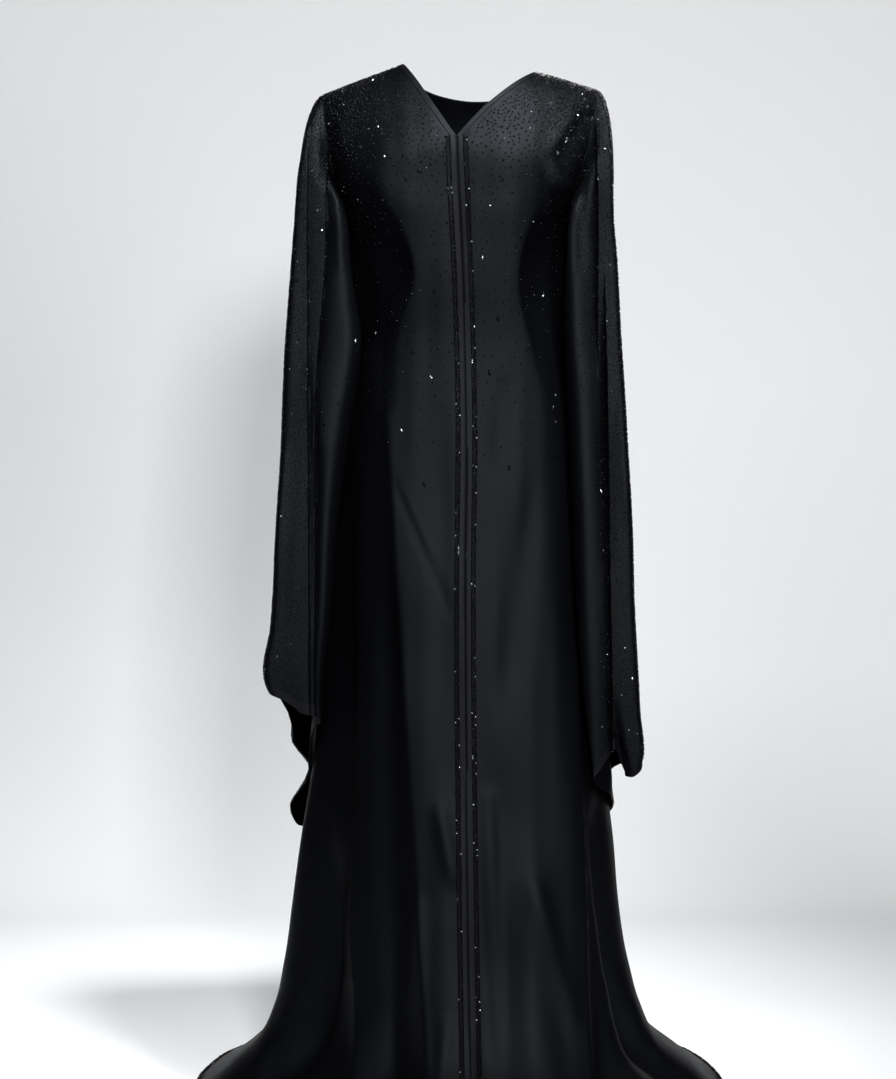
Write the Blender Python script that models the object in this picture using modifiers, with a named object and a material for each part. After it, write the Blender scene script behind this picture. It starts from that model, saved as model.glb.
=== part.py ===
"""Long open abaya cloak, hollow as it is worn, with wide hanging sleeves in pleats.

Metres, +Z up, front towards -Y.  The origin is between the shoulders at the height where the
shoulder seams leave the neck.  "Right" and "left" are the wearer's: right is at -X.
Places on the body are given by a turn in degrees (0 centre front, 90 left side, 180 centre
back, 270 right side) and a drop in metres below the shoulder line.
"""
import math

import bmesh
import bpy
import numpy as np

RIGHT = -1
LEFT = 1

# Cloth and trim
WALL = 0.0016
SEAM_HALF_GAP = 0.00016
SHOULDER_HALF_GAP = 0.00022
LAY_GAP = 0.0003
WELD = 0.00001
BORDER_WIDTH = 0.008
BORDER_THICKNESS = 0.0012
BEAD_BAND_WIDTH = 0.007
BEAD_BAND_THICKNESS = 0.0022

# Shoulders and neck: x and z of the neck ends of the shoulder seams, and the seam slopes
NECK_RIGHT_X = -0.083
NECK_RIGHT_Z = 0.007
NECK_LEFT_X = 0.113
NECK_LEFT_Z = -0.004
SLOPE_RIGHT = 0.38
SLOPE_LEFT = -0.30
SHOULDER_FADE = 0.20
SHOULDER_ROUND = 0.15
V_DROP = 0.120
V_X = -0.006
LEFT_NECK_BOW = 0.009
BACK_NECK_DROP = 0.045

# Armhole, from the shoulder point to the underarm
UNDERARM_DROP = 0.20
ARMHOLE_SPAN = 28.0
ARMHOLE_ROUND = 3.0

HEM_DROP = 1.474

# Body sections: half widths to each side, depths in front and behind, and how square they are
SECTION_COLUMNS = ("drop", "right_half", "left_half", "front_depth", "back_depth", "squareness")
BODY_SECTIONS = (
    (0.000, 0.212, 0.212, 0.096, 0.092, 2.6),
    (0.050, 0.208, 0.206, 0.098, 0.096, 2.6),
    (0.100, 0.198, 0.194, 0.104, 0.100, 2.6),
    (0.150, 0.182, 0.176, 0.114, 0.102, 2.5),
    (0.200, 0.168, 0.160, 0.121, 0.102, 2.4),
    (0.280, 0.165, 0.158, 0.123, 0.099, 2.3),
    (0.400, 0.155, 0.157, 0.113, 0.096, 2.2),
    (0.510, 0.166, 0.162, 0.117, 0.112, 2.2),
    (0.650, 0.183, 0.170, 0.130, 0.132, 2.2),
    (0.830, 0.197, 0.182, 0.148, 0.150, 2.2),
    (1.000, 0.213, 0.207, 0.168, 0.172, 2.2),
    (1.120, 0.231, 0.222, 0.186, 0.190, 2.2),
    (1.200, 0.243, 0.229, 0.200, 0.205, 2.2),
    (1.290, 0.255, 0.242, 0.218, 0.229, 2.2),
    (1.350, 0.268, 0.260, 0.236, 0.256, 2.2),
    (1.400, 0.292, 0.288, 0.262, 0.300, 2.3),
    (1.435, 0.330, 0.334, 0.294, 0.352, 2.3),
    (1.460, 0.362, 0.364, 0.326, 0.408, 2.4),
    (1.475, 0.388, 0.388, 0.352, 0.455, 2.4),
)

# Closing edge of the two fronts, which leans a little as it hangs
CENTRE_COLUMNS = ("drop", "x")
CENTRE_LINE = (
    (0.10, -0.006),
    (0.20, -0.002),
    (0.33, 0.004),
    (0.48, 0.008),
    (0.77, 0.006),
    (1.13, 0.009),
    (1.475, 0.014),
)

# Rounded forms of bust and waist on the fronts
FORM_COLUMNS = ("x", "drop", "half_width", "half_height", "height")
BODY_FORMS = (
    (-0.085, 0.185, 0.042, 0.052, 0.010),
    (0.060, 0.190, 0.042, 0.052, 0.010),
    (-0.118, 0.310, 0.028, 0.070, -0.016),
    (0.120, 0.310, 0.028, 0.065, -0.015),
)
FORM_EDGE = 0.3

# Long folds of the skirt, outward where the height is positive.  Each runs from its first to
# its last drop; its place is a share of the half width on its side, its width is in degrees
FOLD_COLUMNS = (
    "face", "first_drop", "last_drop", "first_share", "last_share",
    "first_width", "last_width", "first_height", "last_height",
)
BODY_FOLDS = (
    ("front", 1.00, 1.36, -0.740, -0.510, 3.5, 3.5, 0.006, 0.007),
    ("front", 0.70, 1.52, -0.560, -0.330, 5.0, 4.5, -0.003, -0.010),
    ("front", 1.06, 1.52, -0.900, -0.940, 6.0, 6.0, -0.008, -0.034),
    ("front", 0.56, 0.90, 0.590, 0.350, 4.5, 4.5, -0.005, -0.005),
    ("front", 0.90, 1.52, 0.930, 0.760, 5.0, 4.5, 0.006, 0.022),
    ("front", 0.98, 1.52, 0.880, 0.960, 5.0, 5.5, -0.010, -0.038),
    ("front", 0.98, 1.52, -0.070, -0.030, 4.5, 4.0, 0.003, 0.006),
    ("front", 0.95, 1.52, 0.250, 0.160, 5.0, 4.5, -0.003, -0.009),
    ("front", 1.05, 1.52, 0.460, 0.300, 5.0, 4.5, 0.003, 0.010),
    ("back", 0.46, 1.52, -0.800, -0.700, 8.0, 7.0, -0.008, -0.036),
    ("back", 0.42, 1.52, -0.570, -0.490, 7.0, 6.0, 0.008, 0.034),
    ("back", 0.48, 1.52, -0.310, -0.270, 7.0, 6.0, -0.010, -0.036),
    ("back", 0.40, 1.52, -0.030, -0.040, 8.0, 6.5, 0.008, 0.028),
    ("back", 0.50, 1.52, 0.280, 0.190, 7.0, 6.0, -0.009, -0.034),
    ("back", 0.44, 1.52, 0.560, 0.430, 7.0, 6.0, 0.009, 0.032),
    ("back", 0.52, 1.52, 0.780, 0.680, 7.0, 6.5, -0.008, -0.036),
)
FOLD_FADE = 0.12
SEAM_CALM = 8.0

# Edges of the broad front panel: the cloth falls back from each on one side.  Along its
# length each has its x, how far back the cloth falls, and over which width
PANEL_COLUMNS = ("drop", "x", "depth", "width")
FRONT_EDGES = (
    (RIGHT, (
        (0.340, -0.1160, 0.000, 0.030), (0.400, -0.1120, 0.008, 0.030), (0.582, -0.0983, 0.016, 0.035),
        (0.853, -0.0830, 0.024, 0.042), (1.143, -0.0634, 0.028, 0.060), (1.365, -0.0480, 0.032, 0.080),
        (1.475, -0.0420, 0.034, 0.090),
    )),
    (RIGHT, (
        (0.560, -0.1590, 0.000, 0.010), (0.660, -0.1653, 0.006, 0.010), (0.950, -0.1790, 0.010, 0.012),
        (1.239, -0.1946, 0.014, 0.016), (1.370, -0.1900, 0.018, 0.020), (1.475, -0.1850, 0.020, 0.024),
    )),
    (LEFT, (
        (0.440, 0.1480, 0.000, 0.010), (0.579, 0.1510, 0.008, 0.010), (0.772, 0.1610, 0.012, 0.011),
        (1.062, 0.1737, 0.018, 0.014), (1.360, 0.1780, 0.024, 0.020), (1.475, 0.1820, 0.028, 0.024),
    )),
)
EDGE_SOFTNESS = 0.004
PANEL_FADE = 0.65

# Sleeve sections below the underarm: how far out they reach, where the front part ends
# towards the body, and their depths in front and behind
SLEEVE_COLUMNS = ("drop", "outer", "inner", "front_depth", "back_depth")
SLEEVE_SECTIONS = {
    RIGHT: (
        (0.230, 0.239, 0.156, 0.092, 0.092),
        (0.280, 0.243, 0.157, 0.100, 0.100),
        (0.340, 0.248, 0.152, 0.108, 0.108),
        (0.400, 0.252, 0.144, 0.114, 0.114),
        (0.450, 0.254, 0.150, 0.117, 0.118),
        (0.510, 0.257, 0.161, 0.120, 0.122),
        (0.650, 0.265, 0.179, 0.126, 0.132),
        (0.800, 0.273, 0.189, 0.131, 0.142),
        (0.885, 0.280, 0.198, 0.134, 0.148),
        (0.915, 0.264, 0.200, 0.134, 0.149),
        (0.945, 0.2535, 0.202, 0.134, 0.150),
        (0.985, 0.2525, 0.203, 0.132, 0.150),
        (1.018, 0.226, 0.201, 0.130, 0.150),
        (1.045, 0.2375, 0.201, 0.128, 0.149),
        (1.076, 0.2556, 0.203, 0.126, 0.147),
        (1.106, 0.2496, 0.206, 0.124, 0.145),
        (1.130, 0.2405, 0.208, 0.122, 0.143),
    ),
    LEFT: (
        (0.230, 0.222, 0.151, 0.090, 0.090),
        (0.280, 0.226, 0.151, 0.098, 0.098),
        (0.400, 0.233, 0.153, 0.110, 0.110),
        (0.510, 0.240, 0.158, 0.116, 0.120),
        (0.650, 0.247, 0.163, 0.122, 0.132),
        (0.800, 0.253, 0.167, 0.127, 0.142),
        (0.920, 0.259, 0.171, 0.131, 0.148),
        (0.990, 0.2625, 0.174, 0.133, 0.150),
        (1.004, 0.258, 0.175, 0.133, 0.150),
        (1.020, 0.233, 0.177, 0.133, 0.150),
        (1.060, 0.231, 0.180, 0.132, 0.148),
        (1.145, 0.230, 0.187, 0.128, 0.142),
    ),
}
SLEEVE_TOP = 0.23
SLEEVE_SQUARENESS = 2.7
SLEEVE_CLEARANCE = 0.006
SLEEVE_SOFTNESS = 0.004

# Cuff line: drop of the open edge at each angle (0 outer, 90 front, 180 inner, 270 back)
CUFF_COLUMNS = ("around", "drop")
CUFF_LINES = {
    RIGHT: (
        (-60.0, 1.115), (-40.0, 1.095), (-24.0, 1.015), (-9.0, 0.912), (0.0, 0.886), (30.0, 0.888),
        (60.0, 0.905), (90.0, 0.920), (125.0, 0.930), (160.0, 0.965), (190.0, 1.020), (215.0, 1.075),
        (240.0, 1.112), (270.0, 1.127), (300.0, 1.115), (320.0, 1.095), (336.0, 1.015), (351.0, 0.912),
        (360.0, 0.886), (390.0, 0.888),
    ),
    LEFT: (
        (-60.0, 1.100), (-40.0, 1.040), (-25.0, 1.012), (0.0, 1.002), (25.0, 1.003), (58.0, 1.008),
        (72.0, 0.992), (85.0, 0.972), (97.0, 0.984), (115.0, 1.010), (150.0, 1.046), (180.0, 1.066),
        (215.0, 1.098), (245.0, 1.130), (275.0, 1.142), (300.0, 1.100), (320.0, 1.040), (335.0, 1.012),
        (360.0, 1.002), (385.0, 1.003),
    ),
}

# Pleats that part the sleeves into hanging strips; the place is x on the front and back
# faces, measured away from the centre, and y on the outer face
PLEAT_COLUMNS = ("face", "first_drop", "last_drop", "first_place", "last_place", "width", "depth")
SLEEVE_PLEATS = {
    RIGHT: (
        ("front", 0.06, 1.20, 0.2150, 0.2075, 0.0060, 0.022),
        ("front", 0.14, 0.86, 0.1860, 0.2000, 0.0070, 0.016),
        ("back", 0.10, 1.03, 0.2080, 0.2180, 0.0100, 0.020),
        ("back", 0.20, 1.00, 0.1800, 0.1900, 0.0100, 0.012),
        ("outer", 0.20, 1.20, -0.0300, -0.0450, 0.0200, 0.008),
        ("outer", 0.26, 1.20, 0.0500, 0.0600, 0.0220, 0.010),
    ),
    LEFT: (
        ("front", 0.08, 1.00, 0.1960, 0.2115, 0.0060, 0.020),
        ("front", 0.89, 1.08, 0.2105, 0.2390, 0.0060, 0.022),
        ("front", 0.18, 1.00, 0.1760, 0.1880, 0.0080, 0.013),
        ("back", 0.10, 1.20, 0.1980, 0.2140, 0.0100, 0.020),
        ("back", 0.22, 1.00, 0.1720, 0.1840, 0.0100, 0.012),
        ("outer", 0.18, 1.20, -0.0250, -0.0400, 0.0200, 0.009),
        ("outer", 0.28, 1.20, 0.0550, 0.0650, 0.0220, 0.008),
    ),
}
PLEAT_FADE = 0.10

# How finely the surfaces are divided
ARMHOLE_ROWS = (0.0, 0.0002, 0.009, 0.032, 0.060, 0.090, 0.120, 0.145, 0.168, 0.185, 0.195, 0.20)
SKIRT_ROWS = (
    0.235, 0.28, 0.34, 0.41, 0.49, 0.58, 0.68, 0.78, 0.88, 0.98, 1.08, 1.17, 1.25, 1.32,
    1.37, 1.405, 1.432, 1.452, 1.465, HEM_DROP,
)
FRONT_COLUMNS = 17
BACK_SHOULDER_COLUMNS = 4
BACK_NECK_COLUMNS = 6
BACK_COLUMNS = 28
SLEEVE_FRONT_ANGLES = (
    0, 20, 38, 50, 58, 65, 71, 77, 83, 89, 95, 101, 107, 113, 120, 128, 138, 150, 165,
)
SLEEVE_BACK_ANGLES = (180, 195, 212, 229, 246, 262, 278, 294, 311, 328, 344)
SLEEVE_LOFT_STEPS = (0.0, 0.03, 0.10, 0.22, 0.36, 0.54, 0.76)
SLEEVE_HANG_STEPS = (
    0.0, 0.10, 0.20, 0.31, 0.43, 0.55, 0.67, 0.77, 0.84, 0.89, 0.93, 0.97, 1.0,
)

CLOTH_COLOUR = (0.022, 0.023, 0.028, 1.0)
BORDER_COLOUR = (0.030, 0.031, 0.037, 1.0)
BEAD_COLOUR = (0.012, 0.012, 0.014, 1.0)


def track(table, names, name, at):
    """Smooth curve through one column of a table, read at the given places of its first one."""
    places = np.array([row[0] for row in table])
    values = np.array([row[names.index(name)] for row in table])
    slopes = np.gradient(values, places)
    at = np.clip(np.asarray(at, dtype=float), places[0], places[-1])
    low = np.clip(np.searchsorted(places, at, side="right") - 1, 0, len(places) - 2)
    span = places[low + 1] - places[low]
    part = (at - places[low]) / span
    start_weight = (1 + 2 * part) * (1 - part) ** 2
    end_weight = part ** 2 * (3 - 2 * part)
    start_slope = part * (1 - part) ** 2 * span * slopes[low]
    end_slope = part ** 2 * (part - 1) * span * slopes[low + 1]
    return start_weight * values[low] + end_weight * values[low + 1] + start_slope + end_slope


def ease(value):
    """Smooth step from 0 to 1."""
    value = np.clip(value, 0.0, 1.0)
    return value * value * (3 - 2 * value)


def bell(value):
    return np.exp(-0.5 * value ** 2)


def body_size(name, drop):
    return track(BODY_SECTIONS, SECTION_COLUMNS, name, drop)


def closing_x(drop):
    """Where the two fronts meet."""
    return track(CENTRE_LINE, CENTRE_COLUMNS, "x", drop)


def shoulder_line(x):
    """Height of the shoulder seams and of the smooth saddle between them across the neck."""
    span = NECK_LEFT_X - NECK_RIGHT_X
    part = np.clip((x - NECK_RIGHT_X) / span, 0.0, 1.0)
    saddle = (
        (1 + 2 * part) * (1 - part) ** 2 * NECK_RIGHT_Z
        + part ** 2 * (3 - 2 * part) * NECK_LEFT_Z
        + part * (1 - part) ** 2 * span * SLOPE_RIGHT
        + part ** 2 * (part - 1) * span * SLOPE_LEFT
    )
    right = NECK_RIGHT_Z + SLOPE_RIGHT * (x - NECK_RIGHT_X)
    left = NECK_LEFT_Z + SLOPE_LEFT * (x - NECK_LEFT_X)
    return np.where(x < NECK_RIGHT_X, right, np.where(x > NECK_LEFT_X, left, saddle))


def shoulder_fade(drop):
    """How much of the shoulder slope is left at a drop."""
    return np.clip(1 - drop / SHOULDER_FADE, 0.0, 1.0) ** 1.5


def shoulder_rounding(drop):
    """Share of the body's depth at a drop, round over the top of the shoulder."""
    part = np.clip(drop / SHOULDER_ROUND, 0.0, 1.0)
    return np.sqrt(1 - (1 - part) ** 2)


def turn_of_share(share, drop):
    """Turn on the front at a share of the half width, negative on the right."""
    power = body_size("squareness", drop)
    sine = np.clip(np.abs(share), 0.0, 0.9999)
    cosine = (1 - sine ** power) ** (1 / power)
    return np.sign(share) * np.degrees(np.arctan2(sine, cosine))


def turn_of_x(x, drop):
    """Turn on the front where the section has the given x."""
    half = np.where(x < 0, body_size("right_half", drop), body_size("left_half", drop))
    return turn_of_share(x / half, drop)


def fold_height(turn, drop):
    """Outward shift of the cloth by the long folds, which run level across the side seams."""
    total = np.zeros(np.broadcast(turn, drop).shape)
    beside_seam = (turn % 180.0) - 90.0
    turn = turn - beside_seam * np.exp(-(beside_seam / SEAM_CALM) ** 2)
    for face, first, last, first_share, last_share, first_w, last_w, first_h, last_h in BODY_FOLDS:
        part = np.clip((drop - first) / (last - first), 0.0, 1.0)
        centre = turn_of_share(first_share + (last_share - first_share) * part, drop)
        if face == "back":
            centre = 180.0 - centre
        away = (turn - centre + 180.0) % 360.0 - 180.0
        width = first_w + (last_w - first_w) * part
        height = first_h + (last_h - first_h) * part
        fade = ease((drop - first) / FOLD_FADE) * ease((last - drop) / FOLD_FADE + 0.4)
        total = total + height * fade * bell(away / width)
    return total


def form_height(x, drop, cosine):
    """Outward shift of the fronts over the bust and in at the waist, none at the side seams."""
    total = np.zeros(np.broadcast(x, drop).shape)
    for form_x, form_drop, half_width, half_height, height in BODY_FORMS:
        total = total + height * bell((x - form_x) / half_width) * bell((drop - form_drop) / half_height)
    return total * ease(cosine / FORM_EDGE)


def edge_shift(x, drop, cosine):
    """Shift of the front behind the edges of its broad panel, none at the side seams."""
    total = np.zeros(np.broadcast(x, drop).shape)
    for side, path in FRONT_EDGES:
        past = side * (x - track(path, PANEL_COLUMNS, "x", drop))
        past = (past + np.sqrt(past ** 2 + EDGE_SOFTNESS ** 2)) / 2
        depth = np.where(drop > path[0][0], track(path, PANEL_COLUMNS, "depth", drop), 0.0)
        total = total - depth * (1 - np.exp(-past / track(path, PANEL_COLUMNS, "width", drop)))
    return total * ease(cosine / PANEL_FADE)


def body_point(turn, drop):
    """Point of the body's outer cloth face, as an array with x, y and z last."""
    turn, drop = np.broadcast_arrays(np.asarray(turn, dtype=float), np.asarray(drop, dtype=float))
    sine = np.sin(np.radians(turn))
    cosine = np.cos(np.radians(turn))
    power = body_size("squareness", drop)
    scale = (np.abs(sine) ** power + np.abs(cosine) ** power) ** (-1 / power)
    half = np.where(sine < 0, body_size("right_half", drop), body_size("left_half", drop))
    depth = np.where(cosine > 0, body_size("front_depth", drop), body_size("back_depth", drop))
    x = half * sine * scale
    y = -depth * shoulder_rounding(drop) * cosine * scale
    length = np.hypot(x, y)
    shift = fold_height(turn, drop) + form_height(x, drop, cosine) + edge_shift(x, drop, cosine)
    grown = 1 + shift / np.maximum(length, 0.01)
    z = shoulder_line(x) * shoulder_fade(drop) - drop
    return np.stack((x * grown, y * grown, z), axis=-1)


def neckline_x(side, drop):
    """Front neckline: straight in front view on the right, slightly bowed on the left."""
    neck_x, neck_z = (NECK_RIGHT_X, NECK_RIGHT_Z) if side == RIGHT else (NECK_LEFT_X, NECK_LEFT_Z)
    v_z = shoulder_line(V_X) * shoulder_fade(V_DROP) - V_DROP
    x = neck_x + (V_X - neck_x) * drop / V_DROP
    for _ in range(6):
        z = shoulder_line(x) * shoulder_fade(drop) - drop
        part = np.clip((z - neck_z) / (v_z - neck_z), 0.0, 1.0)
        x = neck_x + (V_X - neck_x) * part
    bow = LEFT_NECK_BOW * np.sin(math.pi * part) if side == LEFT else 0.0
    return x - bow


def front_edge_x(side, drop):
    """Inner edge of a front: the neckline down to the V, then the closing edge."""
    return np.where(drop < V_DROP, neckline_x(side, np.minimum(drop, V_DROP)), closing_x(drop))


def armhole_turn(drop):
    """Turn of the armhole's edge, measured from the centre front or the centre back."""
    part = np.clip(drop / UNDERARM_DROP, 0.0, 1.0)
    return 90.0 - ARMHOLE_SPAN * np.sqrt(1 - part ** ARMHOLE_ROUND)


def trim(points, rows=None, columns=None, amount=SEAM_HALF_GAP):
    """Draws one edge of a grid back along its own cloth, towards the grid's inside."""
    if rows is not None:
        edge, inside = rows
        step = points[inside] - points[edge]
        points[edge] = points[edge] + step / np.linalg.norm(step, axis=-1, keepdims=True) * amount
    if columns is not None:
        edge, inside = columns
        step = points[:, inside] - points[:, edge]
        points[:, edge] = points[:, edge] + step / np.linalg.norm(step, axis=-1, keepdims=True) * amount


def front_points(side):
    """Grid of a front: rows from the shoulder seam to the hem, columns from its inner edge."""
    drops = np.array(ARMHOLE_ROWS + SKIRT_ROWS)
    inner_x = front_edge_x(side, drops)
    border_x = inner_x + side * BORDER_WIDTH
    band_x = border_x + side * BEAD_BAND_WIDTH
    columns = [turn_of_x(inner_x, drops), turn_of_x(border_x, drops), turn_of_x(band_x, drops)]
    outer = side * armhole_turn(drops)
    for step in range(1, FRONT_COLUMNS + 1):
        columns.append(columns[2] + (outer - columns[2]) * step / FRONT_COLUMNS)
    turns = np.stack(columns, axis=1)
    points = body_point(turns, drops[:, None])
    trim(points, rows=(0, 1), amount=SHOULDER_HALF_GAP)
    trim(points, columns=(0, 1))
    skirt = len(ARMHOLE_ROWS) - 1
    trim(points[skirt:], columns=(-1, -2))
    return points


def back_points():
    """Grid of the back, columns from the wearer's left side round to the right side."""
    drops = np.array(ARMHOLE_ROWS + SKIRT_ROWS)
    left_neck = 180.0 - turn_of_x(NECK_LEFT_X, 0.0)
    right_neck = 180.0 - turn_of_x(NECK_RIGHT_X, 0.0)
    left_tip = 180.0 - armhole_turn(0.0)
    right_tip = 180.0 + armhole_turn(0.0)
    shoulders_left = np.linspace(left_tip, left_neck, BACK_SHOULDER_COLUMNS + 1)
    neck = np.linspace(left_neck, right_neck, BACK_NECK_COLUMNS + 1)
    shoulders_right = np.linspace(right_neck, right_tip, BACK_SHOULDER_COLUMNS + 1)
    top_turns = np.concatenate((shoulders_left, neck[1:], shoulders_right[1:]))
    share = (top_turns - left_tip) / (right_tip - left_tip)
    even = np.interp(np.linspace(0, 1, BACK_COLUMNS + 1), np.linspace(0, 1, len(share)), share)
    edge = 90.0 - armhole_turn(drops)
    first = 90.0 + edge[:, None]
    last = 270.0 - edge[:, None]
    turns = first + (last - first) * even[None, :]
    top_x = body_point(left_tip + (right_tip - left_tip) * even, 0.0005)[:, 0]
    part = np.clip((top_x - NECK_RIGHT_X) / (NECK_LEFT_X - NECK_RIGHT_X), 0.0, 1.0)
    scoop = (4 * part * (1 - part)) ** 0.6
    settle = np.clip(1 - drops / UNDERARM_DROP, 0.0, 1.0)[:, None]
    own_drops = drops[:, None] + BACK_NECK_DROP * scoop[None, :] * settle
    border_row = np.where(scoop > 0, BACK_NECK_DROP * scoop + BORDER_WIDTH * scoop ** 0.5, 0.0)
    own_drops[1] = np.maximum(own_drops[1], border_row)
    own_drops[2] = np.maximum(own_drops[2], own_drops[1] + 0.006)
    points = body_point(turns, own_drops)
    trim(points, rows=(0, 1), amount=SHOULDER_HALF_GAP)
    skirt = len(ARMHOLE_ROWS) - 1
    trim(points[skirt:], columns=(0, 1))
    trim(points[skirt:], columns=(-1, -2))
    return points, scoop


def body_reach(side, y, drop):
    """How far the body's cloth stands out to one side at a given y."""
    half = body_size("right_half" if side == RIGHT else "left_half", drop)
    depth = np.where(y < 0, body_size("front_depth", drop), body_size("back_depth", drop))
    power = body_size("squareness", drop)
    share = np.clip(np.abs(y) / depth, 0.0, 0.9999)
    out = (1 - share ** power) ** (1 / power)
    turn = np.degrees(np.arctan2(side * out, np.where(y < 0, share, -share)))
    return half * out + np.maximum(fold_height(turn, drop), -0.01)


def pleat_shift(side, face, place, drop):
    """Inward shift of a sleeve face by its pleats."""
    total = np.zeros(np.broadcast(place, drop).shape)
    for pleat_face, first, last, first_place, last_place, width, depth in SLEEVE_PLEATS[side]:
        if pleat_face != face:
            continue
        part = np.clip((drop - first) / (last - first), 0.0, 1.0)
        centre = first_place + (last_place - first_place) * part
        fade = ease((drop - first) / PLEAT_FADE) * ease((last - drop) / PLEAT_FADE + 0.1)
        total = total + depth * fade * bell((place - centre) / width)
    return total


def sleeve_section(side, around, drop):
    """Plain section of a hanging sleeve: distance outward and y."""
    outer = track(SLEEVE_SECTIONS[side], SLEEVE_COLUMNS, "outer", drop)
    inner = track(SLEEVE_SECTIONS[side], SLEEVE_COLUMNS, "inner", drop)
    front = track(SLEEVE_SECTIONS[side], SLEEVE_COLUMNS, "front_depth", drop)
    back = track(SLEEVE_SECTIONS[side], SLEEVE_COLUMNS, "back_depth", drop)
    cosine = np.cos(np.radians(around))
    sine = np.sin(np.radians(around))
    power = SLEEVE_SQUARENESS
    scale = (np.abs(cosine) ** power + np.abs(sine) ** power) ** (-1 / power)
    out = (outer + inner) / 2 + (outer - inner) / 2 * cosine * scale
    y = -np.where(sine > 0, front, back) * sine * scale
    return out, y


def shape_sleeve(side, around, out, y, z):
    """Presses the pleats into a sleeve and holds its inner face clear of the body."""
    drop = -z
    sine = np.sin(np.radians(around))
    cosine = np.cos(np.radians(around))
    front = pleat_shift(side, "front", out, drop) * np.clip(sine * 1.6, 0.0, 1.0)
    back = pleat_shift(side, "back", out, drop) * np.clip(-sine * 1.6, 0.0, 1.0)
    outer = pleat_shift(side, "outer", y, drop) * np.clip(cosine * 1.6, 0.0, 1.0)
    y = y + front - back
    out = out - outer
    limit = body_reach(side, y, drop) + SLEEVE_CLEARANCE
    near = 0.5 * (out + limit + np.sqrt((out - limit) ** 2 + SLEEVE_SOFTNESS ** 2))
    below = ease((drop - UNDERARM_DROP) / 0.012)
    out = out + (np.maximum(near, out) - out) * below
    return np.stack((side * out, y, z), axis=-1)


def armhole_ring(side, front_grid, back_grid, around):
    """Armhole edge at each angle, read along the edges of the front and the back."""
    rows = len(ARMHOLE_ROWS)
    front_edge = front_grid[:rows, -1]
    back_edge = back_grid[:rows, 0 if side == LEFT else -1]
    ring = np.concatenate((front_edge, back_edge[::-1][1:]), axis=0)
    fine = np.array(ARMHOLE_ROWS) / UNDERARM_DROP
    front_angles = np.degrees(np.arccos(1 - 2 * fine))
    angles = np.concatenate((front_angles, 360.0 - front_angles[::-1][1:]))
    return np.stack([np.interp(around, angles, ring[:, axis]) for axis in range(3)], axis=-1)


def sleeve_angles():
    """Angles of the sleeve's columns, with those of the armhole's own corners among them."""
    return np.array(SLEEVE_FRONT_ANGLES + SLEEVE_BACK_ANGLES + (360,), dtype=float)


def sleeve_points(side, front_grid, back_grid):
    """Grid of a sleeve: rows from the armhole to the cuff, columns once round it."""
    around = sleeve_angles()
    start = armhole_ring(side, front_grid, back_grid, around)
    out, y = sleeve_section(side, around, SLEEVE_TOP)
    end = np.stack((side * out, y, np.full_like(out, -SLEEVE_TOP)), axis=-1)
    cosine = np.cos(np.radians(around))
    sine = np.sin(np.radians(around))
    reach = np.linalg.norm(end - start, axis=-1)
    slope = -0.35 + 0.05 * cosine
    leave = np.stack((side * np.ones_like(cosine), -0.45 * sine, slope), axis=-1)
    leave = leave / np.linalg.norm(leave, axis=-1, keepdims=True)
    leave_pull = (0.35 * reach + 0.012)[:, None]
    arrive = np.array((0.0, 0.0, -1.0))
    arrive_pull = (1.05 * reach)[:, None]
    rows = []
    for step in SLEEVE_LOFT_STEPS:
        start_weight = (1 + 2 * step) * (1 - step) ** 2
        end_weight = step ** 2 * (3 - 2 * step)
        point = start_weight * start + end_weight * end
        point = point + step * (1 - step) ** 2 * leave * leave_pull
        point = point + step ** 2 * (step - 1) * arrive * arrive_pull
        rows.append(shape_sleeve(side, around, side * point[:, 0], point[:, 1], point[:, 2]))
    rows[0] = start
    cuff = track(CUFF_LINES[side], CUFF_COLUMNS, "drop", around)
    for step in SLEEVE_HANG_STEPS:
        drop = SLEEVE_TOP + (cuff - SLEEVE_TOP) * step
        out, y = sleeve_section(side, around, drop)
        rows.append(shape_sleeve(side, around, out, y, -drop))
    points = np.stack(rows, axis=0)
    points[0] = start + leave * 2 * SEAM_HALF_GAP
    points[:, -1] = points[:, 0]
    return points


def grid_normals(points):
    """Unit normals at the points of an open grid."""
    down = np.gradient(points, axis=0)
    across = np.gradient(points, axis=1)
    normals = np.cross(across, down)
    return normals / np.linalg.norm(normals, axis=-1, keepdims=True)


def raised(points, distance, centre=(0.0, 0.0)):
    """The grid moved outward, away from the body's middle line."""
    normals = grid_normals(points)
    outward = points[..., :2] - np.array(centre)
    facing = np.sign(np.mean(np.sum(normals[..., :2] * outward, axis=-1)))
    return points + normals * facing * distance


def make_material(name, colour, roughness):
    material = bpy.data.materials.new(name)
    material.use_nodes = True
    shader = material.node_tree.nodes["Principled BSDF"]
    shader.inputs["Base Color"].default_value = colour
    shader.inputs["Roughness"].default_value = roughness
    shader.inputs["Metallic"].default_value = 0.0
    return material


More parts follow.
